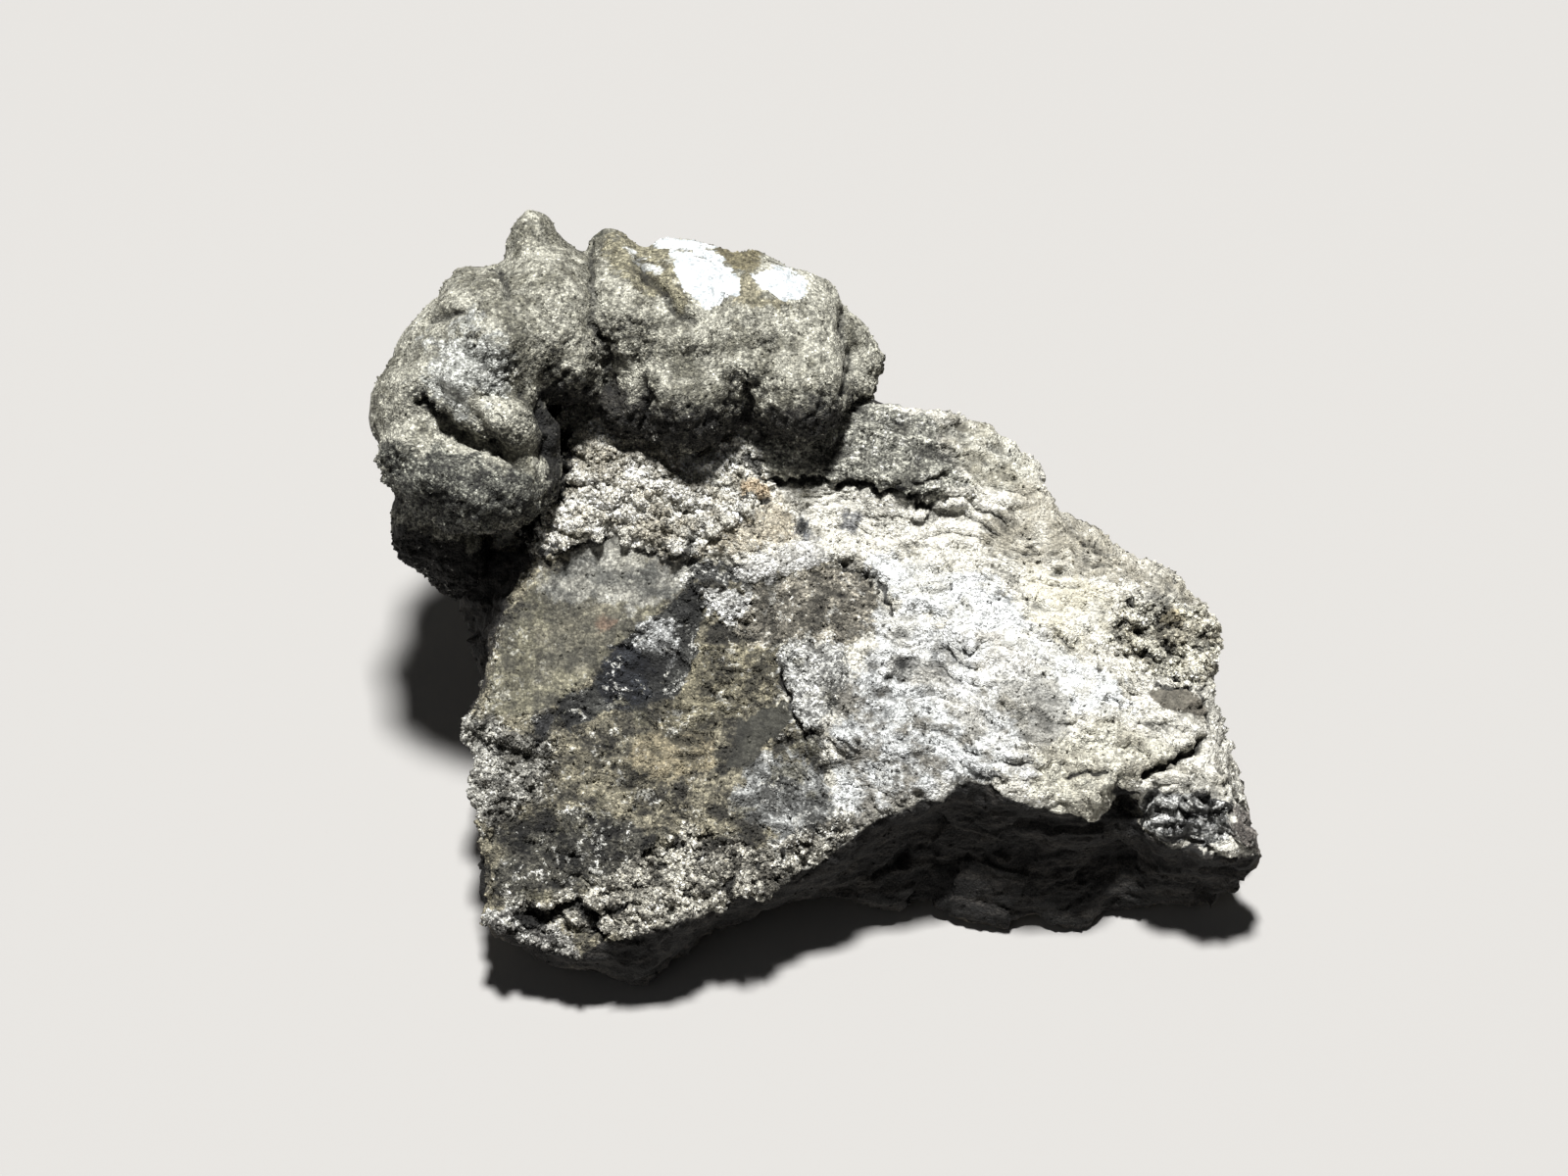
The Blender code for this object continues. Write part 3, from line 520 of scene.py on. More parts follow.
# %% Relief of the rock
def rock_relief(surface, weight, lit):
    """How far each point of the rock's skin is pushed out, in millimetres."""
    crumbly = np.maximum.reduce([
        weight["crumb_crust"], weight["left_crumbs"], weight["edge_crumbs"], weight["corner_block"],
        0.8 * weight["crumbly_right"], 0.7 * weight["white_cluster"],
    ])
    calm = np.maximum.reduce([
        weight["tan_film"], weight["grey_film"], 0.8 * weight["smooth_dark"], 0.8 * weight["brown_wedge"],
        0.6 * weight["smooth_grey"], 0.6 * weight["white_ridge"],
    ]) * (1 - crumbly)
    rough = 1 - 0.85 * calm
    crumbs = surface.domes(1.3, 1) * 0.45 + surface.domes(0.7, 2) * 0.2 - 0.35
    crumbs += 0.55 * surface.chips(1.5, 16)
    face = 0.35 * surface.noise(5.5, 3) + rough * 0.22 * surface.noise(1.5, 4)
    for name, lift in ROCK_LIFTS.items():
        face += lift * weight[name]
    face += rough * (0.34 * surface.chips(3.4, 5) + 0.14 * surface.noise(0.8, 6))
    streaks = surface.noise(1.3, 7, stretch=(4.5, 1, 1))
    right = rise(surface.u, 5, 20)
    face += 0.20 * right * rough * streaks
    face += 1.1 * rough * np.maximum(right, crumbly) * terraces(surface, LARGE_LEDGE, 61)
    face += 0.6 * rough * terraces(surface, SMALL_LEDGE, 71)
    face += 1.2 * weight["shiny_facets"] * surface.chips(3.0, 14)
    face += crumbly * (crumbs + 0.45 * surface.noise(2.8, 8) + 0.3 * surface.chips(2.2, 13))
    broken = rock_layers(surface) * 0.30 + 0.75 * surface.chips(4.8, 9, stretch=(1.8, 1, 0.8))
    broken += 0.30 * surface.chips(1.9, 18) + 0.25 * surface.noise(2.2, 10) + 0.16 * surface.noise(1.0, 11)
    return lit * face + (1 - lit) * broken


# %% [markdown]
# ## Cracks pressed in, and numbers kept on the mesh
# A crack or a pit is a smooth notch that deepens towards its line or its middle. What the relief
# knows about each point, such as how deep in a crack it is, is kept on the mesh as a named number,
# so that the material and the grains can read it.


# %% Pressing and storing
def pressed(surface, cracks, pits, wobble):
    """How deep the cracks and pits go at each point, and how much of a crack each point is."""
    depth = np.zeros(surface.count)
    share = np.zeros(surface.count)
    for _, line, half_width, deep in cracks:
        near = line_distance(line, surface.seen + wobble[:, None]) / half_width
        notch = np.exp(-near * near)
        depth = np.maximum(depth, deep * notch)
        share = np.maximum(share, notch)
    for _, px, py, radius, deep in pits:
        away = np.linalg.norm(surface.seen - np.array(on_face(px, py)), axis=1) / radius
        notch = np.exp(-away * away)
        depth = np.maximum(depth, deep * notch)
        share = np.maximum(share, 0.7 * notch)
    return depth, share


def store(skin, name, values):
    """Keeps one number for each point, for the material and the grains to read."""
    layer = skin.data.attributes.new(name, "FLOAT", "POINT")
    layer.data.foreach_set("value", np.ascontiguousarray(values, np.float32))


def push_out(skin, surface, moves):
    """Moves each point along its normal."""
    skin.data.vertices.foreach_set("co", (surface.points + surface.normals * moves[:, None]).ravel())
    skin.data.update()


# %% [markdown]
# ## Where the pale crust ends
# The pale crust covers what looks at the eye and upwards, above the lower edge in the picture. It
# thins out behind, and it never covers the left side, which stays broken rock painted dark as shade.
# Its edge is kept as a distance, as the patches are: above 0 is crusted, and below 0 is broken rock.

# %% The crusted face
CRUSTED_FROM = 0.15
CRUSTED_SHARPNESS = 7

rock_surface = Surface(rock)
rock_fields, rock_weights = patch_weights(rock_surface, ROCK_PATCHES, PATCH_EDGE)
lit_edge = above(LIT_EDGE, rock_surface.seen)
looks_up = 0.8 * rock_surface.facing + 0.55 * rock_surface.normals[:, 1]
looks_up += (
    0.35 * rock_surface.normals[:, 0] * rise(rock_surface.u, -2, 8) + 0.22 * rock_surface.noise(3.5, 19)
)
looks_up += (
    0.35 * rise(rock_surface.u, 22, 28) * rise(-rock_surface.u, -40, -34) * rise(rock_surface.v, 1, 6)
)
looks_up -= 0.8 * rise(-rock_surface.w, 12, 20)
lit_field = np.minimum(lit_edge, (looks_up - CRUSTED_FROM) * CRUSTED_SHARPNESS)
# The left side is kept out of the crust, so it is painted dark as shade.
lit_field = np.minimum(lit_field, -rock_fields["shaded_left_side"])
lit_weight = rise(lit_field, -PATCH_EDGE, PATCH_EDGE)
print(f"crusted: {lit_weight.mean():.0%} of the rock's points")

# %% [markdown]
# ## Putting the rock's relief together
# The cracks waver a little from their lines. Where the crust is crumbly at the right and along the
# lower edge, small holes go through it. Crumbly and bare places are kept apart, because the grains
# gather on the first and leave the second.

# %% The rock's relief, cracks and holes
HOLE_DEPTH = 1.2

wobble = 0.36 * rock_surface.noise(1.8, 12) + 0.24 * rock_surface.noise(0.7, 14)
rock_depth, rock_crack = pressed(rock_surface, ROCK_CRACKS, ROCK_PITS, wobble)
holed = np.maximum(rock_weights["crumbly_right"], 0.7 * rock_weights["edge_crumbs"])
holes = holed * rise(rock_surface.noise(1.5, 15), 0.5, 0.85)
rock_depth = np.maximum(rock_depth, HOLE_DEPTH * holes)
rock_crack = np.maximum(rock_crack, holes)
crumbly = np.maximum.reduce([
    rock_weights["crumb_crust"], rock_weights["left_crumbs"], rock_weights["edge_crumbs"],
    0.8 * rock_weights["crumbly_right"], 0.8 * rock_weights["corner_block"],
    0.7 * rock_weights["white_cluster"],
]) * lit_weight
bare = np.maximum.reduce([
    rock_weights["tan_film"], rock_weights["grey_film"], rock_weights["smooth_dark"],
    rock_weights["brown_wedge"], rock_weights["shiny_facets"],
]) * (1 - crumbly)
relief = rock_relief(rock_surface, rock_weights, lit_weight)
push_out(rock, rock_surface, relief - rock_depth * lit_weight)
for name, field in rock_fields.items():
    store(rock, name, field)
store(rock, "lit", lit_field)
store(rock, "behind", rise(-rock_surface.facing + 0.4 * rock_surface.noise(6.0, 16), 0.0, 0.5))
store(rock, "crack", rock_crack * lit_weight)
store(rock, "right", rise(rock_surface.u + 2.5 * rock_surface.noise(5.0, 17), 1, 9))
store(rock, "relief", relief)
store(rock, "calm", bare)
print(f"rock relief {relief.min():.2f} to {relief.max():.2f} mm")

# %% [markdown]
# ## The crust's folds and knobs
# The crust grew as lobes that press against each other. Where two meet there is a sharp crease,
# and the skin between is finely knobbed. Its outlines, folds and pits are read off the picture in
# the same way as the rock's, and one rounded thumb lies over the curled lobe.

# %% Patches and folds of the crust
CRUST_PATCHES = {
    "lower_left_lobe": ((385, 450), (450, 462), (540, 480), (560, 520), (470, 545), (400, 520)),
    # Painted shade: the undersides, the back lobe and the hollow of the curl are painted dark.
    "painted_shade_undersides": (
        (560, 400), (620, 392), (680, 420), (760, 425), (860, 405), (862, 440), (780, 462), (690, 462),
        (610, 450), (560, 480),
    ),
    "painted_shade_back_lobe": ((380, 530), (440, 545), (540, 560), (520, 640), (420, 620), (380, 580)),
    "painted_shade_of_curl": (
        (550, 400), (574, 392), (590, 430), (592, 490), (580, 530), (562, 548), (556, 520), (564, 486),
        (556, 450),
    ),
    "green_pebble": ((600, 238), (606, 232), (617, 234), (616, 242), (604, 243)),
    "ochre_left": (
        (615, 240), (647, 240), (682, 250), (696, 290), (708, 314), (690, 320), (668, 300), (640, 290),
        (622, 270),
    ),
    "ochre_knob": ((727, 252), (740, 244), (776, 250), (780, 266), (764, 281), (750, 274), (735, 262)),
    "ochre_right": ((748, 285), (766, 278), (780, 298), (812, 310), (780, 318), (752, 308)),
    "blue_grey": ((440, 345), (480, 330), (515, 355), (510, 400), (470, 415), (440, 390)),
    "white_break": (
        (685, 255), (727, 257), (752, 281), (754, 299), (737, 302), (733, 312), (717, 314), (708, 306),
        (696, 291), (687, 268),
    ),
    "white_break_right": (
        (767, 280), (782, 270), (809, 272), (825, 283), (825, 299), (815, 308), (796, 304), (775, 291),
    ),
    "white_rim": ((662, 249), (683, 244), (704, 238), (740, 240), (732, 252), (706, 254), (683, 252)),
    "white_streak": ((638, 252), (652, 262), (676, 275), (668, 279), (650, 270)),
}
CRUST_FOLDS = (
    (
        "curl_fold",
        ((430, 410), (440, 421), (455, 434), (475, 447), (500, 455), (520, 466), (537, 478)),
        0.50, 1.5,
    ),
    ("thumb_side", ((534, 398), (541, 415), (549, 440), (556, 462)), 0.55, 1.0),
    ("great_crease", ((603, 248), (604, 290), (602, 333), (612, 348), (620, 362), (622, 398)), 0.40, 0.6),
    ("belly_crease", ((763, 392), (762, 420), (762, 446)), 0.50, 1.5),
    ("belly_crease_left", ((655, 390), (660, 410), (655, 434)), 0.45, 1.1),
    ("brown_crease", ((650, 262), (664, 285), (690, 316), (706, 330)), 0.60, 0.6),
    ("end_step", ((861, 318), (866, 350), (868, 380), (862, 402)), 0.45, 0.9),
    ("nub_notch", ((438, 327), (452, 322), (470, 318)), 0.50, 0.7),
    ("nub_gap", ((503, 270), (512, 282), (518, 300)), 0.60, 0.7),
)
CRUST_PITS = (
    ("beside_thumb", 564, 424, 2.0, 2.2),
    ("under_thumb", 567, 455, 1.9, 2.0),
    ("notch_by_pebble", 590, 236, 1.0, 0.8),
)
THUMB = ((470, 388), (492, 402), (515, 420), (536, 441))
THUMB_RADIUS = 2.6
THUMB_HEIGHT = 1.7

# %% [markdown]
# ## The crust's relief
# The knobs are coarser at the back and the grain is coarser below, where the crust hangs over the
# rock. The white breaks are smooth and lie a little lower. A patch is kept to the side that the
# eye sees, apart from the lobes and the undersides, which reach a little further round. The back
# lobe and the undersides are painted dark as shade.

# %% Relief of the crust
CRUST_PATCH_EDGE = 0.6
WHITE_BREAK_DROP = 0.25
REACHES_ROUND = 0.3
STAYS_IN_FRONT = -0.02
TURN_SHARPNESS = 5

crust_surface = Surface(crust)
crust_fields, crust_weights = patch_weights(crust_surface, CRUST_PATCHES, CRUST_PATCH_EDGE)
front = rise(crust_surface.facing, 0.0, 0.3)
broken_white = np.maximum(crust_weights["white_break"], crust_weights["white_break_right"]) * front
below = rise(-crust_surface.normals[:, 1] + 0.3 * crust_surface.noise(4.0, 46), -0.15, 0.65)
wobble = 0.3 * crust_surface.noise(2.0, 41)
fold_depth, fold_share = pressed(crust_surface, CRUST_FOLDS, CRUST_PITS, wobble)
knob_height = 0.14 + 0.25 * rise(-crust_surface.facing, -0.2, 0.4)
knobs = knob_height * crust_surface.noise(3.2, 42) + (0.07 + 0.12 * below) * crust_surface.noise(1.5, 43)
grains = (0.07 + 0.16 * below) * crust_surface.noise(0.8, 44)
crumb_height = 0.08 + 0.3 * below
grains += crumb_height * (crust_surface.domes(1.0, 45) - 0.5) + crumb_height * crust_surface.chips(1.3, 47)
crust_relief = (knobs + grains) * (1 - 0.8 * broken_white) - WHITE_BREAK_DROP * broken_white
to_thumb = line_distance(THUMB, crust_surface.seen + wobble[:, None])
thumb = np.clip(1 - (to_thumb / THUMB_RADIUS) ** 2, 0, 1)
push_out(crust, crust_surface, crust_relief + (THUMB_HEIGHT * thumb - fold_depth) * front)
for name, field in crust_fields.items():
    reach = REACHES_ROUND if "lobe" in name or "under" in name else STAYS_IN_FRONT
    store(crust, name, np.minimum(field, (crust_surface.facing + reach) * TURN_SHARPNESS))
store(crust, "crack", fold_share * front)
store(crust, "relief", grains + 0.5 * knobs)
store(crust, "below", below)
store(crust, "calm", broken_white)
print(f"crust relief {crust_relief.min():.2f} to {crust_relief.max():.2f} mm")

# %% [markdown]
# ## Shader maths as sums
# A material's masks are sums of noises and stored numbers. One small class wraps a socket, so that
# such a sum is written as in plain Python and adds its Math nodes.


# %% The Wire class
class Wire:
    """One output socket of a material. Sums on it add the nodes that a hand would wire."""

    def __init__(self, tree, socket=None):
        self.tree = tree
        self.socket = socket

    def node(self, kind, settings=None, inputs=None, output=0):
        """Adds any node: first its settings, then the values or wires of its sockets."""
        made = self.tree.nodes.new(kind)
        for name, value in (settings or {}).items():
            setattr(made, name, value)
        for name, value in (inputs or {}).items():
            if isinstance(value, Wire):
                self.tree.links.new(value.socket, made.inputs[name])
            else:
                made.inputs[name].default_value = value
        return Wire(self.tree, made.outputs[output])

    def math(self, operation, *values):
        return self.node("ShaderNodeMath", {"operation": operation}, dict(enumerate(values)))

    def __add__(self, other):
        return self.math("ADD", self, other)

    def __sub__(self, other):
        return self.math("SUBTRACT", self, other)

    def __rsub__(self, other):
        return self.math("SUBTRACT", other, self)

    def __mul__(self, other):
        return self.math("MULTIPLY", self, other)

    __radd__ = __add__
    __rmul__ = __mul__

    def most(self, other):
        return self.math("MAXIMUM", self, other)

    def step(self, low, high):
        """0 below low, 1 above high, and a smooth rise between."""
        settings = {"interpolation_type": "SMOOTHSTEP"}
        return self.node("ShaderNodeMapRange", settings, {"Value": self, "From Min": low, "From Max": high})

    def mix(self, other, share):
        """This colour, mixed towards another by a share."""
        settings = {"data_type": "RGBA"}
        return self.node("ShaderNodeMix", settings, {0: share, 6: self, 7: other}, output=2)

    def blend(self, other, share):
        """This number, mixed towards another by a share."""
        return self.node("ShaderNodeMix", {"data_type": "FLOAT"}, {0: share, 2: self, 3: other})

    def times(self, amount):
        """This colour, made lighter or darker by a number."""
        return self.node("ShaderNodeVectorMath", {"operation": "SCALE"}, {0: self, "Scale": amount})

    def under(self, most):
        """This colour with no channel above a number."""
        return self.node("ShaderNodeVectorMath", {"operation": "MINIMUM"}, {0: self, 1: (most,) * 3})


# %% [markdown]
# ## One kind of material for both minerals
# Both minerals are dull and grainy and read the same kinds of texture, so they share one class. Its
# patterns lie in the face frame, in millimetres, as the relief does. A cell pattern gives grains,
# and a noise that is squeezed one way gives streaks and layers.


# %% The Stone class
def srgb(red, green, blue):
    """A colour as a screen shows it, 0 to 255, as the renderer's linear colour."""
    channels = [value / 255 for value in (red, green, blue)]
    return (*[c / 12.92 if c <= 0.04045 else ((c + 0.055) / 1.055) ** 2.4 for c in channels], 1.0)


class Stone(Wire):
    """A new material, with the textures that both minerals use, in face-frame millimetres."""

    def __init__(self, name, roughness):
        self.material = bpy.data.materials.new(name)
        self.material.use_nodes = True
        super().__init__(self.material.node_tree)
        self.shader = self.tree.nodes["Principled BSDF"]
        self.shader.inputs["Roughness"].default_value = roughness
        place = self.node("ShaderNodeTexCoord", output="Object")
        back = Matrix.Rotation(-LEAN, 4, "X") @ (-FACE_ORIGIN)
        self.place = self.node(
            "ShaderNodeMapping",
            inputs={
                "Vector": place, "Location": back, "Rotation": (-LEAN, 0, 0), "Scale": (1 / MM,) * 3,
            },
        )

    def stretched(self, stretch, turn):
        """The place, turned in the plane of the picture and squeezed, for streaks."""
        inputs = {"Vector": self.place, "Rotation": (0, 0, turn), "Scale": [1 / s for s in stretch]}
        return self.node("ShaderNodeMapping", inputs=inputs)

    def noise(self, size, detail=2.0, roughness=0.55, place=None):
        """Noise between about -1 and 1, with lumps of this size in millimetres."""
        inputs = {
            "Vector": place or self.place, "Scale": 1 / size, "Detail": detail, "Roughness": roughness,
        }
        return self.node("ShaderNodeTexNoise", inputs=inputs) * 3.2 - 1.6

    def cells(self, size, output="Distance"):
        """A pattern of cells of this size in millimetres: the distance from each cell's middle."""
        inputs = {"Vector": self.place, "Scale": 1 / size}
        return self.node("ShaderNodeTexVoronoi", inputs=inputs, output=output)

    def cell_tones(self, size):
        """One number for each cell of this size, 0 to 1."""
        inputs = {"Color": self.cells(size, output="Color")}
        return self.node("ShaderNodeSeparateColor", inputs=inputs, output="Red")

    def stored(self, name):
        """A number kept on the mesh."""
        return self.node("ShaderNodeAttribute", {"attribute_name": name}, output="Fac")

    def plain(self, color):
        """A colour as a wire."""
        made = self.node("ShaderNodeRGB")
        made.socket.default_value = color
        return made

    def plain_number(self, value):
        """A number as a wire."""
        made = self.node("ShaderNodeValue")
        made.socket.default_value = value
        return made

    def plug(self, name, value):
        """Wires a value to one of the shader's sockets."""
        self.tree.links.new(value.socket, self.shader.inputs[name])

    def bump(self, height):
        """Relief from a height in millimetres."""
        inputs = {"Strength": 1.0, "Distance": MM, "Height": height}
        self.plug("Normal", self.node("ShaderNodeBump", inputs=inputs))

    def coated(self, color, amount, coats, frayed, spread):
        """A colour and its grittiness, with each coat laid over them in turn."""
        for name, light, deep, fray, soft, gritty in coats:
            share = (self.stored(name) + fray * frayed).step(-soft, soft)
            coat = self.plain(srgb(*light)).mix(srgb(*deep), spread)
            color = color.mix(coat, share)
            amount = amount.blend(gritty, share)
        return color, amount


# %% [markdown]
# ## Grit
# Close up, both minerals are salt and pepper: each grain has its own brightness, partly its own
# tone and partly painted sparkle and shade, and the gaps between grains are painted darker as
# shade. Grit is a power of the contrast below, so it makes the colour of one grain up to 2.6 times
# lighter and that of the next as much darker. How strongly it does so, and whether at all, is an
# amount that is set patch by patch.


# %% Grit
GRIT_CONTRAST = 2.6
BRIGHTEST = 0.93


def grit_of(stone, size):
    """Brightness from grain to grain, about -1 to 1, and the grains' height in millimetres."""
    own = stone.cell_tones(size)
    near = stone.cells(size)
    uneven = stone.noise(size * 1.8, detail=3.0, roughness=0.85)
    tiny = stone.noise(size * 0.6, detail=1.0)
    # Painted shade in the gaps between the cells; the rest is grain tone and painted sparkle.
    grit = own * 1.2 - 0.6 + 0.85 * uneven + 0.35 * tiny - 0.35 * near.step(0.38, 0.72)
    height = size * 0.5 * (0.8 - near) + size * 0.30 * uneven + size * 0.16 * tiny
    return grit, height


# %% [markdown]
# ## The rock's coats
# A coat is a patch's light and deep colours, which noise spreads over it, how far its edge frays in
# millimetres, how soft the edge is, and how gritty the coat is. The edge is the patch's stored
# distance plus noise, so neighbours interlock like real stains. Later coats lie over earlier ones.

# %% Rock coats
ROCK_COATS = (
    ("left_ground", (146, 140, 120), (56, 54, 48), 1.2, 0.8, 1.05),
    ("veil", (232, 232, 227), (146, 143, 133), 1.5, 0.8, 0.8),
    ("white_front", (222, 224, 222), (126, 123, 115), 1.2, 0.5, 0.8),
    ("whitest", (246, 248, 246), (204, 203, 195), 1.4, 0.6, 0.55),
    ("cream_lumps", (238, 235, 221), (210, 205, 186), 1.2, 0.4, 0.5),
    ("cream_top", (222, 220, 206), (166, 162, 146), 1.0, 0.5, 0.6),
    ("right_strip", (212, 208, 194), (164, 159, 144), 1.2, 0.5, 0.6),
    ("smooth_grey", (190, 189, 182), (158, 156, 148), 0.9, 0.3, 0.5),
    ("lower_cream", (216, 213, 197), (156, 152, 138), 1.0, 0.4, 0.65),
    ("crumbly_right", (238, 234, 216), (152, 147, 131), 1.0, 0.5, 1.0),
    ("brown_wedge", (130, 124, 112), (106, 102, 92), 0.35, 0.15, 0.5),
    ("sandy_layer", (176, 175, 163), (102, 101, 93), 0.9, 0.3, 1.3),
    ("grey_mottle", (156, 157, 154), (80, 80, 77), 1.3, 0.5, 1.0),
    ("mottled_low", (90, 88, 79), (27, 26, 24), 1.6, 0.8, 1.3),
    ("ochre_middle", (152, 142, 117), (98, 93, 78), 1.3, 0.5, 0.9),
    ("olive_brown", (136, 130, 109), (72, 69, 59), 1.1, 0.5, 1.0),
    ("brown_granular", (168, 162, 147), (104, 100, 90), 1.0, 0.4, 1.1),
    ("dark_grey_top", (96, 96, 93), (62, 62, 60), 0.9, 0.3, 1.1),
    ("tan_film", (130, 126, 107), (78, 76, 67), 0.6, 0.15, 0.9),
    ("film_shadow", (118, 114, 99), (80, 78, 69), 1.3, 0.7, 0.8),
    ("grey_film", (156, 154, 144), (98, 98, 93), 1.2, 0.5, 0.85),
    ("charcoal", (74, 74, 70), (38, 38, 37), 0.75, 0.2, 1.1),
    ("charcoal_core", (46, 48, 52), (22, 23, 27), 1.0, 0.4, 1.1),
    ("smooth_dark", (70, 69, 62), (54, 53, 48), 0.6, 0.15, 0.6),
    ("tan_band", (206, 198, 179), (156, 148, 130), 1.1, 0.5, 0.9),
    ("white_ridge", (224, 223, 218), (172, 170, 162), 0.8, 0.3, 0.8),
    ("crumb_crust", (240, 237, 226), (160, 155, 141), 0.9, 0.3, 1.1),
    ("left_crumbs", (184, 182, 173), (96, 94, 87), 1.4, 0.6, 1.3),
    ("white_flecks", (206, 207, 204), (72, 72, 70), 1.0, 0.3, 1.2),
    ("white_cluster", (240, 240, 236), (156, 155, 150), 0.7, 0.2, 1.0),
    ("speckled_white", (194, 194, 189), (92, 91, 86), 1.0, 0.3, 1.35),
    ("edge_crumbs", (204, 200, 186), (84, 81, 73), 1.2, 0.5, 1.35),
    ("corner_block", (168, 166, 159), (74, 72, 68), 0.9, 0.3, 1.3),
    ("shiny_facets", (128, 128, 124), (46, 46, 43), 0.7, 0.2, 1.5),
    ("grey_band", (232, 231, 225), (190, 187, 178), 1.0, 0.5, 0.6),
    ("bright_middle", (242, 243, 240), (200, 199, 192), 1.0, 0.5, 0.6),
    ("white_band", (238, 239, 236), (182, 180, 172), 1.2, 0.6, 0.7),
    ("corner_tip", (136, 130, 123), (88, 83, 78), 0.8, 0.3, 1.0),
    ("curl_shadow", (42, 41, 37), (23, 22, 21), 0.7, 0.5, 1.1),
    ("orange_flake", (210, 194, 168), (178, 160, 134), 0.25, 0.25, 0.5),
    ("red_brown_spot", (136, 116, 98), (104, 90, 78), 0.4, 0.3, 0.6),
    ("grey_spot", (142, 143, 144), (84, 86, 88), 0.7, 0.5, 0.9),
    ("grey_spot_right", (132, 132, 131), (76, 77, 78), 0.7, 0.5, 0.9),
    ("grey_hollow", (164, 163, 158), (104, 104, 100), 0.7, 0.4, 0.9),
    ("black_patch", (116, 116, 114), (48, 48, 48), 0.6, 0.3, 1.2),
    ("ochre_spot", (192, 182, 154), (150, 141, 116), 0.6, 0.4, 0.8),
)

# %% [markdown]
# ## The rock's textures
# One set of noises serves all the coats, because real stains, streaks and layers run on from one
# patch into the next. The streaks and the layers are noises squeezed along their own directions.

# %% Rock textures
STREAK_TURN = math.radians(33)
LAYER_TURN = math.radians(-8)
HAIRLINE_TURN = math.radians(-25)

stone = Stone("host_rock", roughness=0.9)
frayed = 2.2 * stone.noise(4.5, detail=5.0, roughness=0.72) + 0.6 * stone.noise(1.1, detail=3.0)
grit, height = grit_of(stone, size=0.32)
slow = 2.0 * stone.noise(9.0, detail=2.0)
stains = 2.4 * stone.noise(6.0, detail=3.0, roughness=0.6)
blotches = 2.4 * stone.noise(4.0, detail=3.0, roughness=0.6)
tones = 2.2 * stone.noise(2.2, detail=4.0, roughness=0.75)
specks = 2.4 * stone.noise(0.75, detail=3.0, roughness=0.75)
streaked = stone.stretched((3, 1, 1), STREAK_TURN)
streaks = 2.2 * stone.noise(2.4, detail=4.0, roughness=0.7, place=streaked)
layered = stone.stretched((6, 1, 1), LAYER_TURN)
layers = 2 * stone.noise(1.1, detail=3.0, roughness=0.6, place=layered)
behind = stone.stored("behind")
right = stone.stored("right")
left = 1 - right

# %% [markdown]
# ## The broken rock
# The broken front and left side are painted nearly black, as shade. Behind, where no picture says
# how dark they are, the same layers are a worn grey-brown, with a few paler ones.

# %% Broken rock
# Painted shade: the broken front and left side are nearly black.
color = stone.plain(srgb(28, 27, 25)).mix(srgb(51, 48, 44), (layers + 0.3 * slow).step(-0.5, 1.0))
worn = stone.plain(srgb(84, 79, 70)).mix(srgb(142, 134, 118), (layers + 0.5 * tones).step(-0.6, 1.2))
color = color.mix(worn, behind)
pale_layers = (slow + 0.4 * layers + 0.5 * tones).step(1.2, 2.2)
color = color.mix(srgb(176, 169, 152), pale_layers * behind * 0.7)

# %% [markdown]
# ## The pale crust
# Under all the coats lies one pale, streaked ground, and the coats go over it in turn.

# %% Pale crust and its coats
GROUND_GRIT = 0.65

ground_streaks = (streaks + 0.4 * tones).step(0.0, 1.1) * 0.9
pale = stone.plain(srgb(224, 221, 209)).mix(srgb(146, 142, 129), ground_streaks)
spread = (0.7 * tones + 0.8 * blotches + 0.4 * streaks).step(0.9, -0.9)
pale, amount = stone.coated(pale, stone.plain_number(GROUND_GRIT), ROCK_COATS, frayed, spread)

# %% [markdown]
# ## Specks, stains, crack shade and facets
# The grittier a place is, the more loose light specks lie on it, and the more dark specks are
# painted as the shade of small pits. The left half has olive stains and stray white crumbs, and the
# right half has fine dark lines, painted shade of hairline cracks, which run where a noise crosses
# zero. The block at the lower right is broken into bright and dark facets, painted as lit and shaded.

# %% Specks and stains
loose = amount.step(0.65, 1.2)
light_specks = (1.3 * tones + 0.8 * specks + 0.5 * slow).step(0.9, 1.4)
pale = pale.mix(srgb(212, 211, 203), light_specks * loose * 0.8)
# Painted shade: dark specks stand for the shade in small pits.
pit_shade_specks = (0.5 * tones - specks).step(0.65, 1.4)
pale = pale.mix(pale.times(0.2), pit_shade_specks * amount.step(0.5, 1.0) * 0.85)
olive_stains = (stains + 0.6 * tones).step(0.9, 1.5)
pale = pale.mix(srgb(88, 85, 70), olive_stains * left * amount.step(0.7, 1.0) * 0.75)
stray_crumbs = (0.6 * specks + tones - 0.7 * stains).step(1.5, 2.1)
pale = pale.mix(srgb(206, 205, 197), stray_crumbs * left * loose * 0.85)

# %% Facets and crack shade
facets = stone.cell_tones(1.5)
shiny = (stone.stored("shiny_facets") + 0.5 * frayed).step(-0.2, 0.2)
# Painted highlights and shade: some facets of the lower right block are painted bright as lit, others dark
# as shaded.
pale = pale.mix(srgb(190, 190, 186), facets.step(0.56, 0.6) * shiny * 0.8)
pale = pale.mix(srgb(26, 26, 25), facets.step(0.34, 0.3) * shiny * 0.8)
# Painted shade: fine dark lines stand for the shade in hairline cracks on the right half.
hairline_place = stone.stretched((1.8, 1, 1), HAIRLINE_TURN)
crossings = stone.math("ABSOLUTE", stone.noise(3.2, detail=5.0, roughness=0.68, place=hairline_place))
hairline_crack_shade = crossings.step(0.075, 0.015) * (blotches + 0.6 * tones).step(-0.2, 0.9) * right
pale = pale.mix(pale.times(0.22), hairline_crack_shade * 0.85)
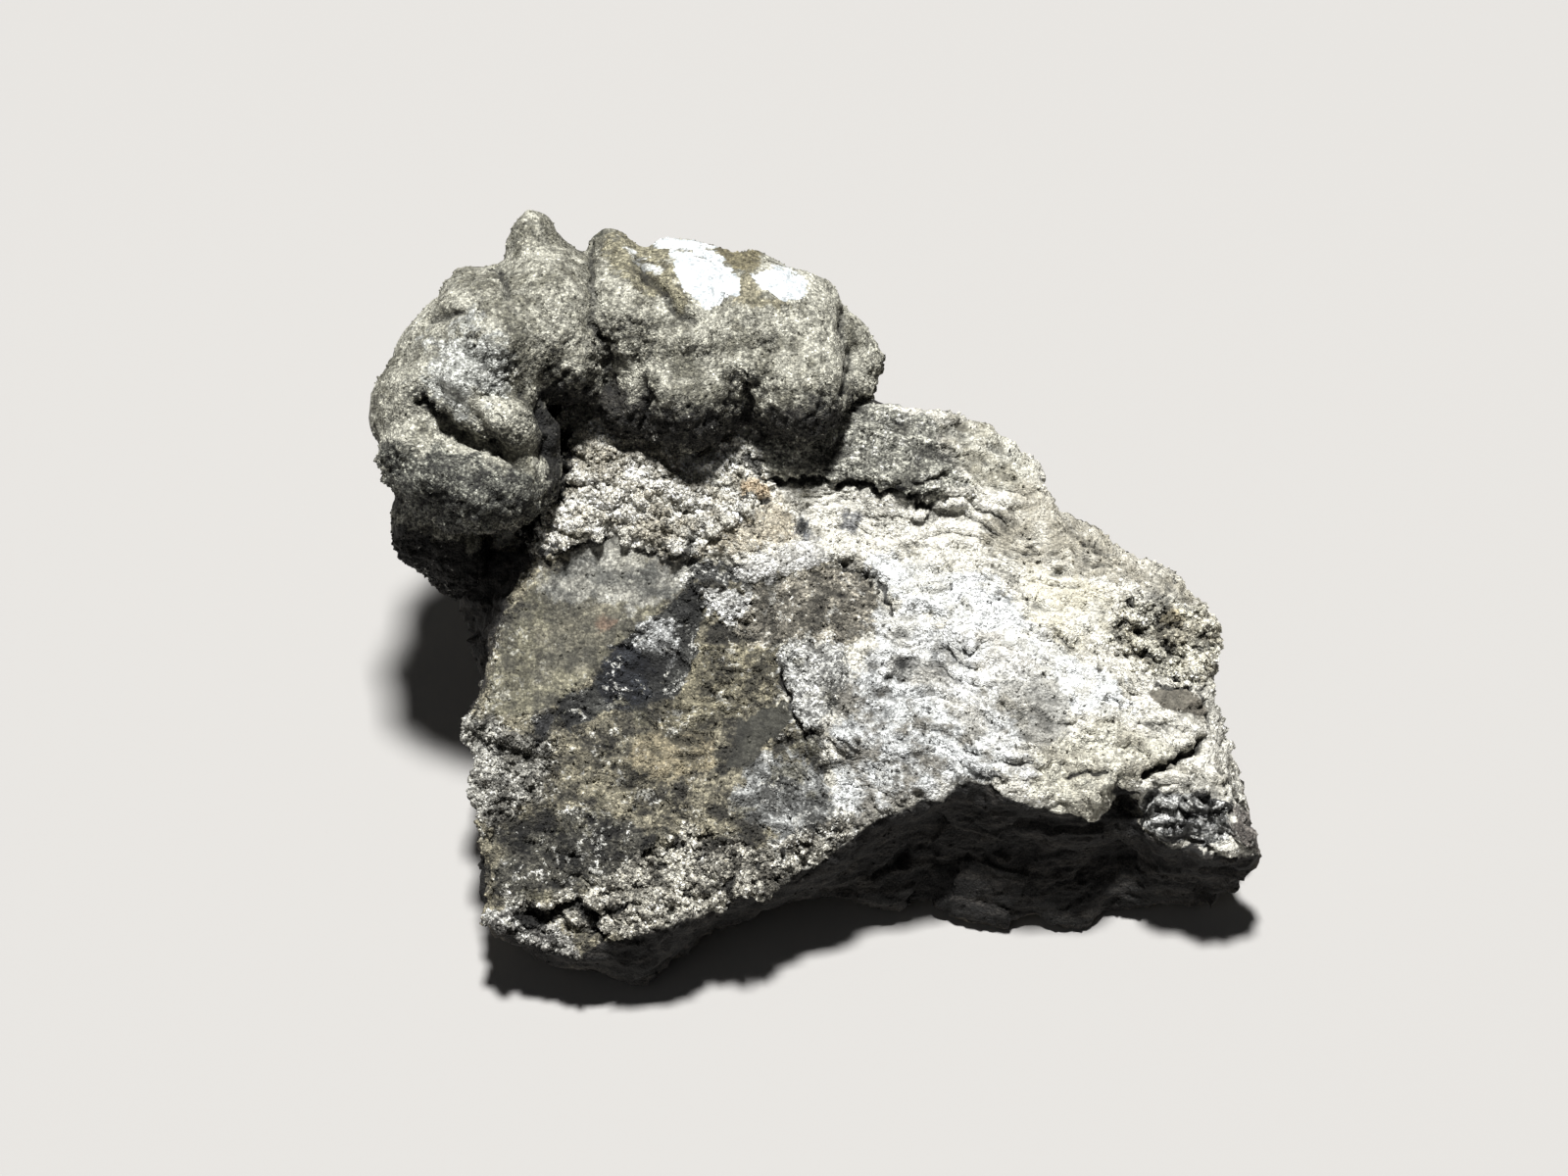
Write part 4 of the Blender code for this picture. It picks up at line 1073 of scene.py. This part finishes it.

# %% [markdown]
# ## The rock's finish
# The crust's edge frays more behind. Hollows and cracks are darkened as painted shade, and no
# colour gets brighter than a real white powder. The rock is dull all over, and only the facets
# shine a little. Where a film covers it the bump is weaker.

# %% Rock finish
lit = (stone.stored("lit") + (0.4 + 0.8 * behind) * frayed).step(-0.25, 0.3)
color = color.mix(pale, lit)
# Painted shade: hollows, cracks and pits are darkened.
hollow = (stone.stored("relief") * -1.4).step(0.0, 1.0)
dark = (0.7 * hollow).most(stone.stored("crack").step(0.15, 0.6))
shade = stone.math("POWER", GRIT_CONTRAST, grit * amount.blend(0.7, 1 - lit)) * (1 - 0.88 * dark)
stone.plug("Base Color", color.times(shade).under(BRIGHTEST))
stone.plug("Roughness", 0.92 - 0.6 * shiny)
stone.bump(height * (1.0 - 0.6 * stone.stored("calm")))
rock_material = stone.material
rock.data.materials.append(rock_material)
print(f"host_rock: {len(rock_material.node_tree.nodes)} nodes")

# %% [markdown]
# ## The crust's coats
# Boussingaultite here is dull grey-beige with a sugary grain. Where knobs broke off it is bright
# white, with an ochre stain round the breaks. The coats have the same numbers as the rock's.

# %% Crust coats
CRUST_COATS = (
    ("blue_grey", (200, 201, 194), (138, 139, 133), 2.4, 1.6, 0.95),
    ("lower_left_lobe", (114, 114, 105), (56, 56, 51), 1.6, 1.0, 1.4),
    # Painted shade: the undersides, the back lobe and the hollow of the curl are painted dark.
    ("painted_shade_undersides", (62, 60, 54), (37, 35, 31), 1.3, 0.9, 1.2),
    ("painted_shade_back_lobe", (44, 42, 38), (28, 27, 24), 1.2, 0.8, 1.0),
    ("painted_shade_of_curl", (40, 39, 35), (24, 23, 21), 0.5, 0.5, 1.2),
    ("green_pebble", (72, 74, 64), (44, 46, 40), 0.2, 0.2, 0.8),
    ("ochre_left", (150, 145, 122), (90, 86, 71), 1.2, 0.5, 0.9),
    ("ochre_knob", (128, 121, 96), (98, 92, 72), 0.7, 0.3, 0.8),
    ("ochre_right", (152, 146, 124), (110, 106, 88), 0.8, 0.3, 0.8),
    ("white_streak", (224, 227, 223), (188, 188, 180), 0.5, 0.2, 0.6),
    ("white_rim", (236, 239, 239), (206, 211, 212), 0.3, 0.12, 0.35),
    ("white_break", (232, 236, 236), (194, 200, 202), 0.5, 0.12, 0.4),
    ("white_break_right", (232, 236, 236), (196, 202, 204), 0.5, 0.12, 0.4),
)

# %% [markdown]
# ## The crust's material
# The ground is two grey-beige tones, and below, where the crust hangs over the rock, it is painted
# darker as shade and is grittier. The coats go over the ground, then bright sugary points, which
# are painted sparkle, and dark gaps between the grains, which are painted shade, as are the
# hollows and folds. The white breaks are smooth, so there is less bump on them.

# %% Crust textures and coats
sugar = Stone("boussingaultite", roughness=0.82)
frayed = 2.0 * sugar.noise(3.0, detail=4.0, roughness=0.7) + 0.5 * sugar.noise(0.8, detail=3.0)
grit, height = grit_of(sugar, size=0.3)
slow = 2.0 * sugar.noise(7.0, detail=3.0)
tones = 2.2 * sugar.noise(1.8, detail=4.0, roughness=0.75)
specks = 2.4 * sugar.noise(0.6, detail=4.0, roughness=0.75)
hanging = sugar.stored("below")
color = sugar.plain(srgb(180, 178, 164)).mix(srgb(106, 104, 92), (0.9 * tones + slow).step(-0.9, 0.9))
# Painted shade: the crust is darker where it faces down.
color = color.mix(srgb(92, 90, 80), hanging * 0.6)
spread = tones.step(0.8, -0.8)
color, amount = sugar.coated(color, 0.9 + 0.5 * hanging, CRUST_COATS, frayed, spread)

# %% Crust finish
loose = amount.step(0.3, 1.2)
# Painted highlights: bright specks and points stand in for sparkle, more of them below.
color = color.mix(color.times(2.1), (specks + 0.3 * tones).step(0.5, 1.1) * loose * 0.9)
painted_glints = (specks + 0.3 * slow).step(1.0, 1.4) * loose
color = color.mix(srgb(232, 231, 222), painted_glints * (0.25 + 0.6 * hanging))
# Painted shade: dark gaps between the grains, more of them below, and darkened hollows and folds.
gaps = (0.4 * tones - specks + 0.7 * hanging).step(0.7, 1.3)
color = color.mix(color.times(0.2), gaps * loose * 0.95)
hollow = (sugar.stored("relief") * -2.6).step(0.0, 1.0)
dark = hollow.most(sugar.stored("crack").step(0.2, 0.9))
shade = sugar.math("POWER", GRIT_CONTRAST, grit * amount) * (1 - 0.7 * dark * amount.step(0.1, 0.6))
sugar.plug("Base Color", color.times(shade).under(BRIGHTEST))
sugar.bump(height * (0.8 + 0.6 * hanging - 0.5 * sugar.stored("calm")))
crust_material = sugar.material
crust.data.materials.append(crust_material)
print(f"boussingaultite: {len(crust_material.node_tree.nodes)} nodes")

# %% [markdown]
# ## Grains as real mesh
# What makes both minerals look sandy is grains of half a millimetre that catch the light. Geometry
# Nodes strews a few shapes of grain over a skin, denser where a stored number says so, and the
# result is realised into one plain mesh. Each grain keeps the patch fields of the spot it lies on,
# so the same material colours it.

# %% Grain shapes
GRAIN_SHAPES = 5
GRAIN_STRETCH = (1.15, 0.95, 0.75)

grain_shapes = bpy.data.collections.new("grain_shapes")
bpy.context.scene.collection.children.link(grain_shapes)


def grain_shape(index):
    """One angular grain, 1 mm across: an eight-sided crystal, pushed out of shape."""
    bpy.ops.mesh.primitive_uv_sphere_add(segments=4, ring_count=2, radius=0.5)
    grain = bpy.context.object
    grain.name = f"grain_{index}"
    for vert in grain.data.vertices:
        uneven = 1 + 0.6 * noise.noise(vert.co * 3 + Vector((index * 7.7, 0, 0)))
        vert.co = Vector([place * stretch for place, stretch in zip(vert.co, GRAIN_STRETCH)]) * uneven
    for home in list(grain.users_collection):
        home.objects.unlink(grain)
    grain_shapes.objects.link(grain)


for index in range(GRAIN_SHAPES):
    grain_shape(index)


# %% Strewing
def strew(skin, name, density, per_mm2, sizes, seed):
    """Strews grains over a skin where the stored density allows, as one realised mesh."""
    tree = bpy.data.node_groups.new(name, "GeometryNodeTree")
    tree.interface.new_socket("Geometry", in_out="INPUT", socket_type="NodeSocketGeometry")
    tree.interface.new_socket("Geometry", in_out="OUTPUT", socket_type="NodeSocketGeometry")
    wire = Wire(tree)
    start = wire.node("NodeGroupInput")
    amount = wire.node("GeometryNodeInputNamedAttribute", {"data_type": "FLOAT"}, {"Name": density})
    dense = amount.math("MULTIPLY", amount, per_mm2)
    spots = wire.node(
        "GeometryNodeDistributePointsOnFaces", inputs={"Mesh": start, "Density": dense, "Seed": seed}
    )
    shapes = wire.node(
        "GeometryNodeCollectionInfo", inputs={"Collection": grain_shapes, "Separate Children": True}
    )
    full_turn = (2 * math.pi,) * 3
    turn = wire.node(
        "FunctionNodeRandomValue", {"data_type": "FLOAT_VECTOR"}, {0: (0, 0, 0), 1: full_turn, "Seed": seed}
    )
    size = wire.node(
        "FunctionNodeRandomValue",
        {"data_type": "FLOAT"},
        {2: sizes[0], 3: sizes[1], "Seed": seed + 1},
        output=1,
    )
    placed = wire.node(
        "GeometryNodeInstanceOnPoints",
        inputs={
            "Points": spots, "Instance": shapes, "Pick Instance": True, "Rotation": turn, "Scale": size,
        },
    )
    solid = wire.node("GeometryNodeRealizeInstances", inputs={"Geometry": placed})
    end = tree.nodes.new("NodeGroupOutput")
    tree.links.new(solid.socket, end.inputs[0])
    strewn = bpy.data.objects.new(name, skin.data.copy())
    bpy.context.scene.collection.objects.link(strewn)
    apply_modifier(strewn, "NODES", node_group=tree)
    strewn.data.materials.clear()
    strewn.data.materials.append(skin.data.materials[0])
    print(f"{name}: {triangle_count(strewn)} triangles")
    return strewn


# %% [markdown]
# ## Crumbs, grains and sugar
# Crumbs of up to a millimetre gather in clumps where the rock is crumbly. Small grains dust the
# whole pale face, fewer on the right and hardly any on the bare films. Finer sugar covers the
# crust, more of it below, and leaves the white breaks clean.

# %% Strewing the grains
CRUMBS_PER_MM2 = 10.5
CRUMB_SIZES = (0.35, 1.0)
GRAINS_PER_MM2 = 2.75
GRAIN_SIZES = (0.22, 0.55)
SUGAR_PER_MM2 = 2.4
SUGAR_SIZES = (0.2, 0.5)

clumps = rise(rock_surface.noise(2.4, 51), -0.5, 0.9)
store(rock, "coarse_grains", crumbly * (0.4 + 0.6 * clumps))
calm_right = 1 - 0.6 * rise(rock_surface.u, 2, 12) * (1 - crumbly)
store(rock, "small_grains", lit_weight * (1 - 0.92 * bare) * (0.3 + 0.7 * clumps) * calm_right + 0.05)
store(crust, "sugar_grains", (1 - 0.95 * broken_white) * (0.35 + 0.65 * below))
rock_crumbs = strew(rock, "rock_crumbs", "coarse_grains", CRUMBS_PER_MM2, CRUMB_SIZES, seed=3)
rock_grains = strew(rock, "rock_grains", "small_grains", GRAINS_PER_MM2, GRAIN_SIZES, seed=5)
crust_grains = strew(crust, "crust_grains", "sugar_grains", SUGAR_PER_MM2, SUGAR_SIZES, seed=7)

# %% [markdown]
# ## Lean everything back and attach it
# The pieces leave the face frame: their meshes are leaned back and scaled to metres, so that each
# object sits at the origin as the imported nodes do. A crumb on the underside would dip below what
# the specimen rests on, so no point goes lower than that. Then each piece is attached to the body it
# rides on, and the plain node that it replaces is hidden.

# %% To the resting frame
for piece, node, slot in (
    (rock, "matrix", "host_rock"),
    (rock_crumbs, "matrix", "host_rock"),
    (rock_grains, "matrix", "host_rock"),
    (crust, "boussingaultite_crust", "boussingaultite"),
    (crust_grains, "boussingaultite_crust", "boussingaultite"),
):
    piece.data.transform(TO_REST)
    flat = np.empty(len(piece.data.vertices) * 3)
    piece.data.vertices.foreach_get("co", flat)
    flat[2::3] = np.maximum(flat[2::3], 0)
    piece.data.vertices.foreach_set("co", flat)
    piece.data.update()
    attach(piece, "root")
    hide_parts(node)
for shape in list(grain_shapes.objects):
    bpy.data.objects.remove(shape)

# %% [markdown]
# ## Stage and light
# The picture is lit hard from above and the underside is in deep shade. Here one soft box hangs
# over the specimen and a weak wide one fills the front, over a plain pale floor. The view is the
# plain one, without a film curve, because the picture is as contrasty as a simple camera makes it.

# %% Stage
FLOOR_SIZE = 6
FLOOR_TONE = srgb(170, 168, 165)
SKY_TINT = (0.9, 0.93, 1.0, 1.0)
SKY_STRENGTH = 0.025

bpy.ops.mesh.primitive_plane_add(size=FLOOR_SIZE, location=(0, 0, 0))
floor = bpy.context.object
floor.name = "floor"
paper = bpy.data.materials.new("pale_floor")
paper.use_nodes = True
paper_shader = paper.node_tree.nodes["Principled BSDF"]
paper_shader.inputs["Base Color"].default_value = FLOOR_TONE
paper_shader.inputs["Roughness"].default_value = 0.9
floor.data.materials.append(paper)

bpy.context.scene.view_settings.view_transform = "Standard"
world = bpy.data.worlds.new("studio")
bpy.context.scene.world = world
world.use_nodes = True
world.node_tree.nodes["Background"].inputs["Color"].default_value = SKY_TINT
world.node_tree.nodes["Background"].inputs["Strength"].default_value = SKY_STRENGTH


# %% Lights
def soft_box(name, azimuth, elevation, distance, size, power):
    """A square light that looks at the specimen."""
    light = bpy.data.objects.new(name, bpy.data.lights.new(name, "AREA"))
    bpy.context.scene.collection.objects.link(light)
    light.data.size = size
    light.data.energy = power
    target = FACE_ORIGIN * MM
    flat = math.cos(math.radians(elevation))
    way = Vector((
        math.sin(math.radians(azimuth)) * flat,
        -math.cos(math.radians(azimuth)) * flat,
        math.sin(math.radians(elevation)),
    ))
    light.location = target + way * distance
    light.rotation_euler = way.to_track_quat("Z", "Y").to_euler()


soft_box("key", azimuth=8, elevation=92, distance=2.1, size=0.27, power=88)
soft_box("fill", azimuth=-30, elevation=40, distance=1.2, size=0.8, power=0.45)
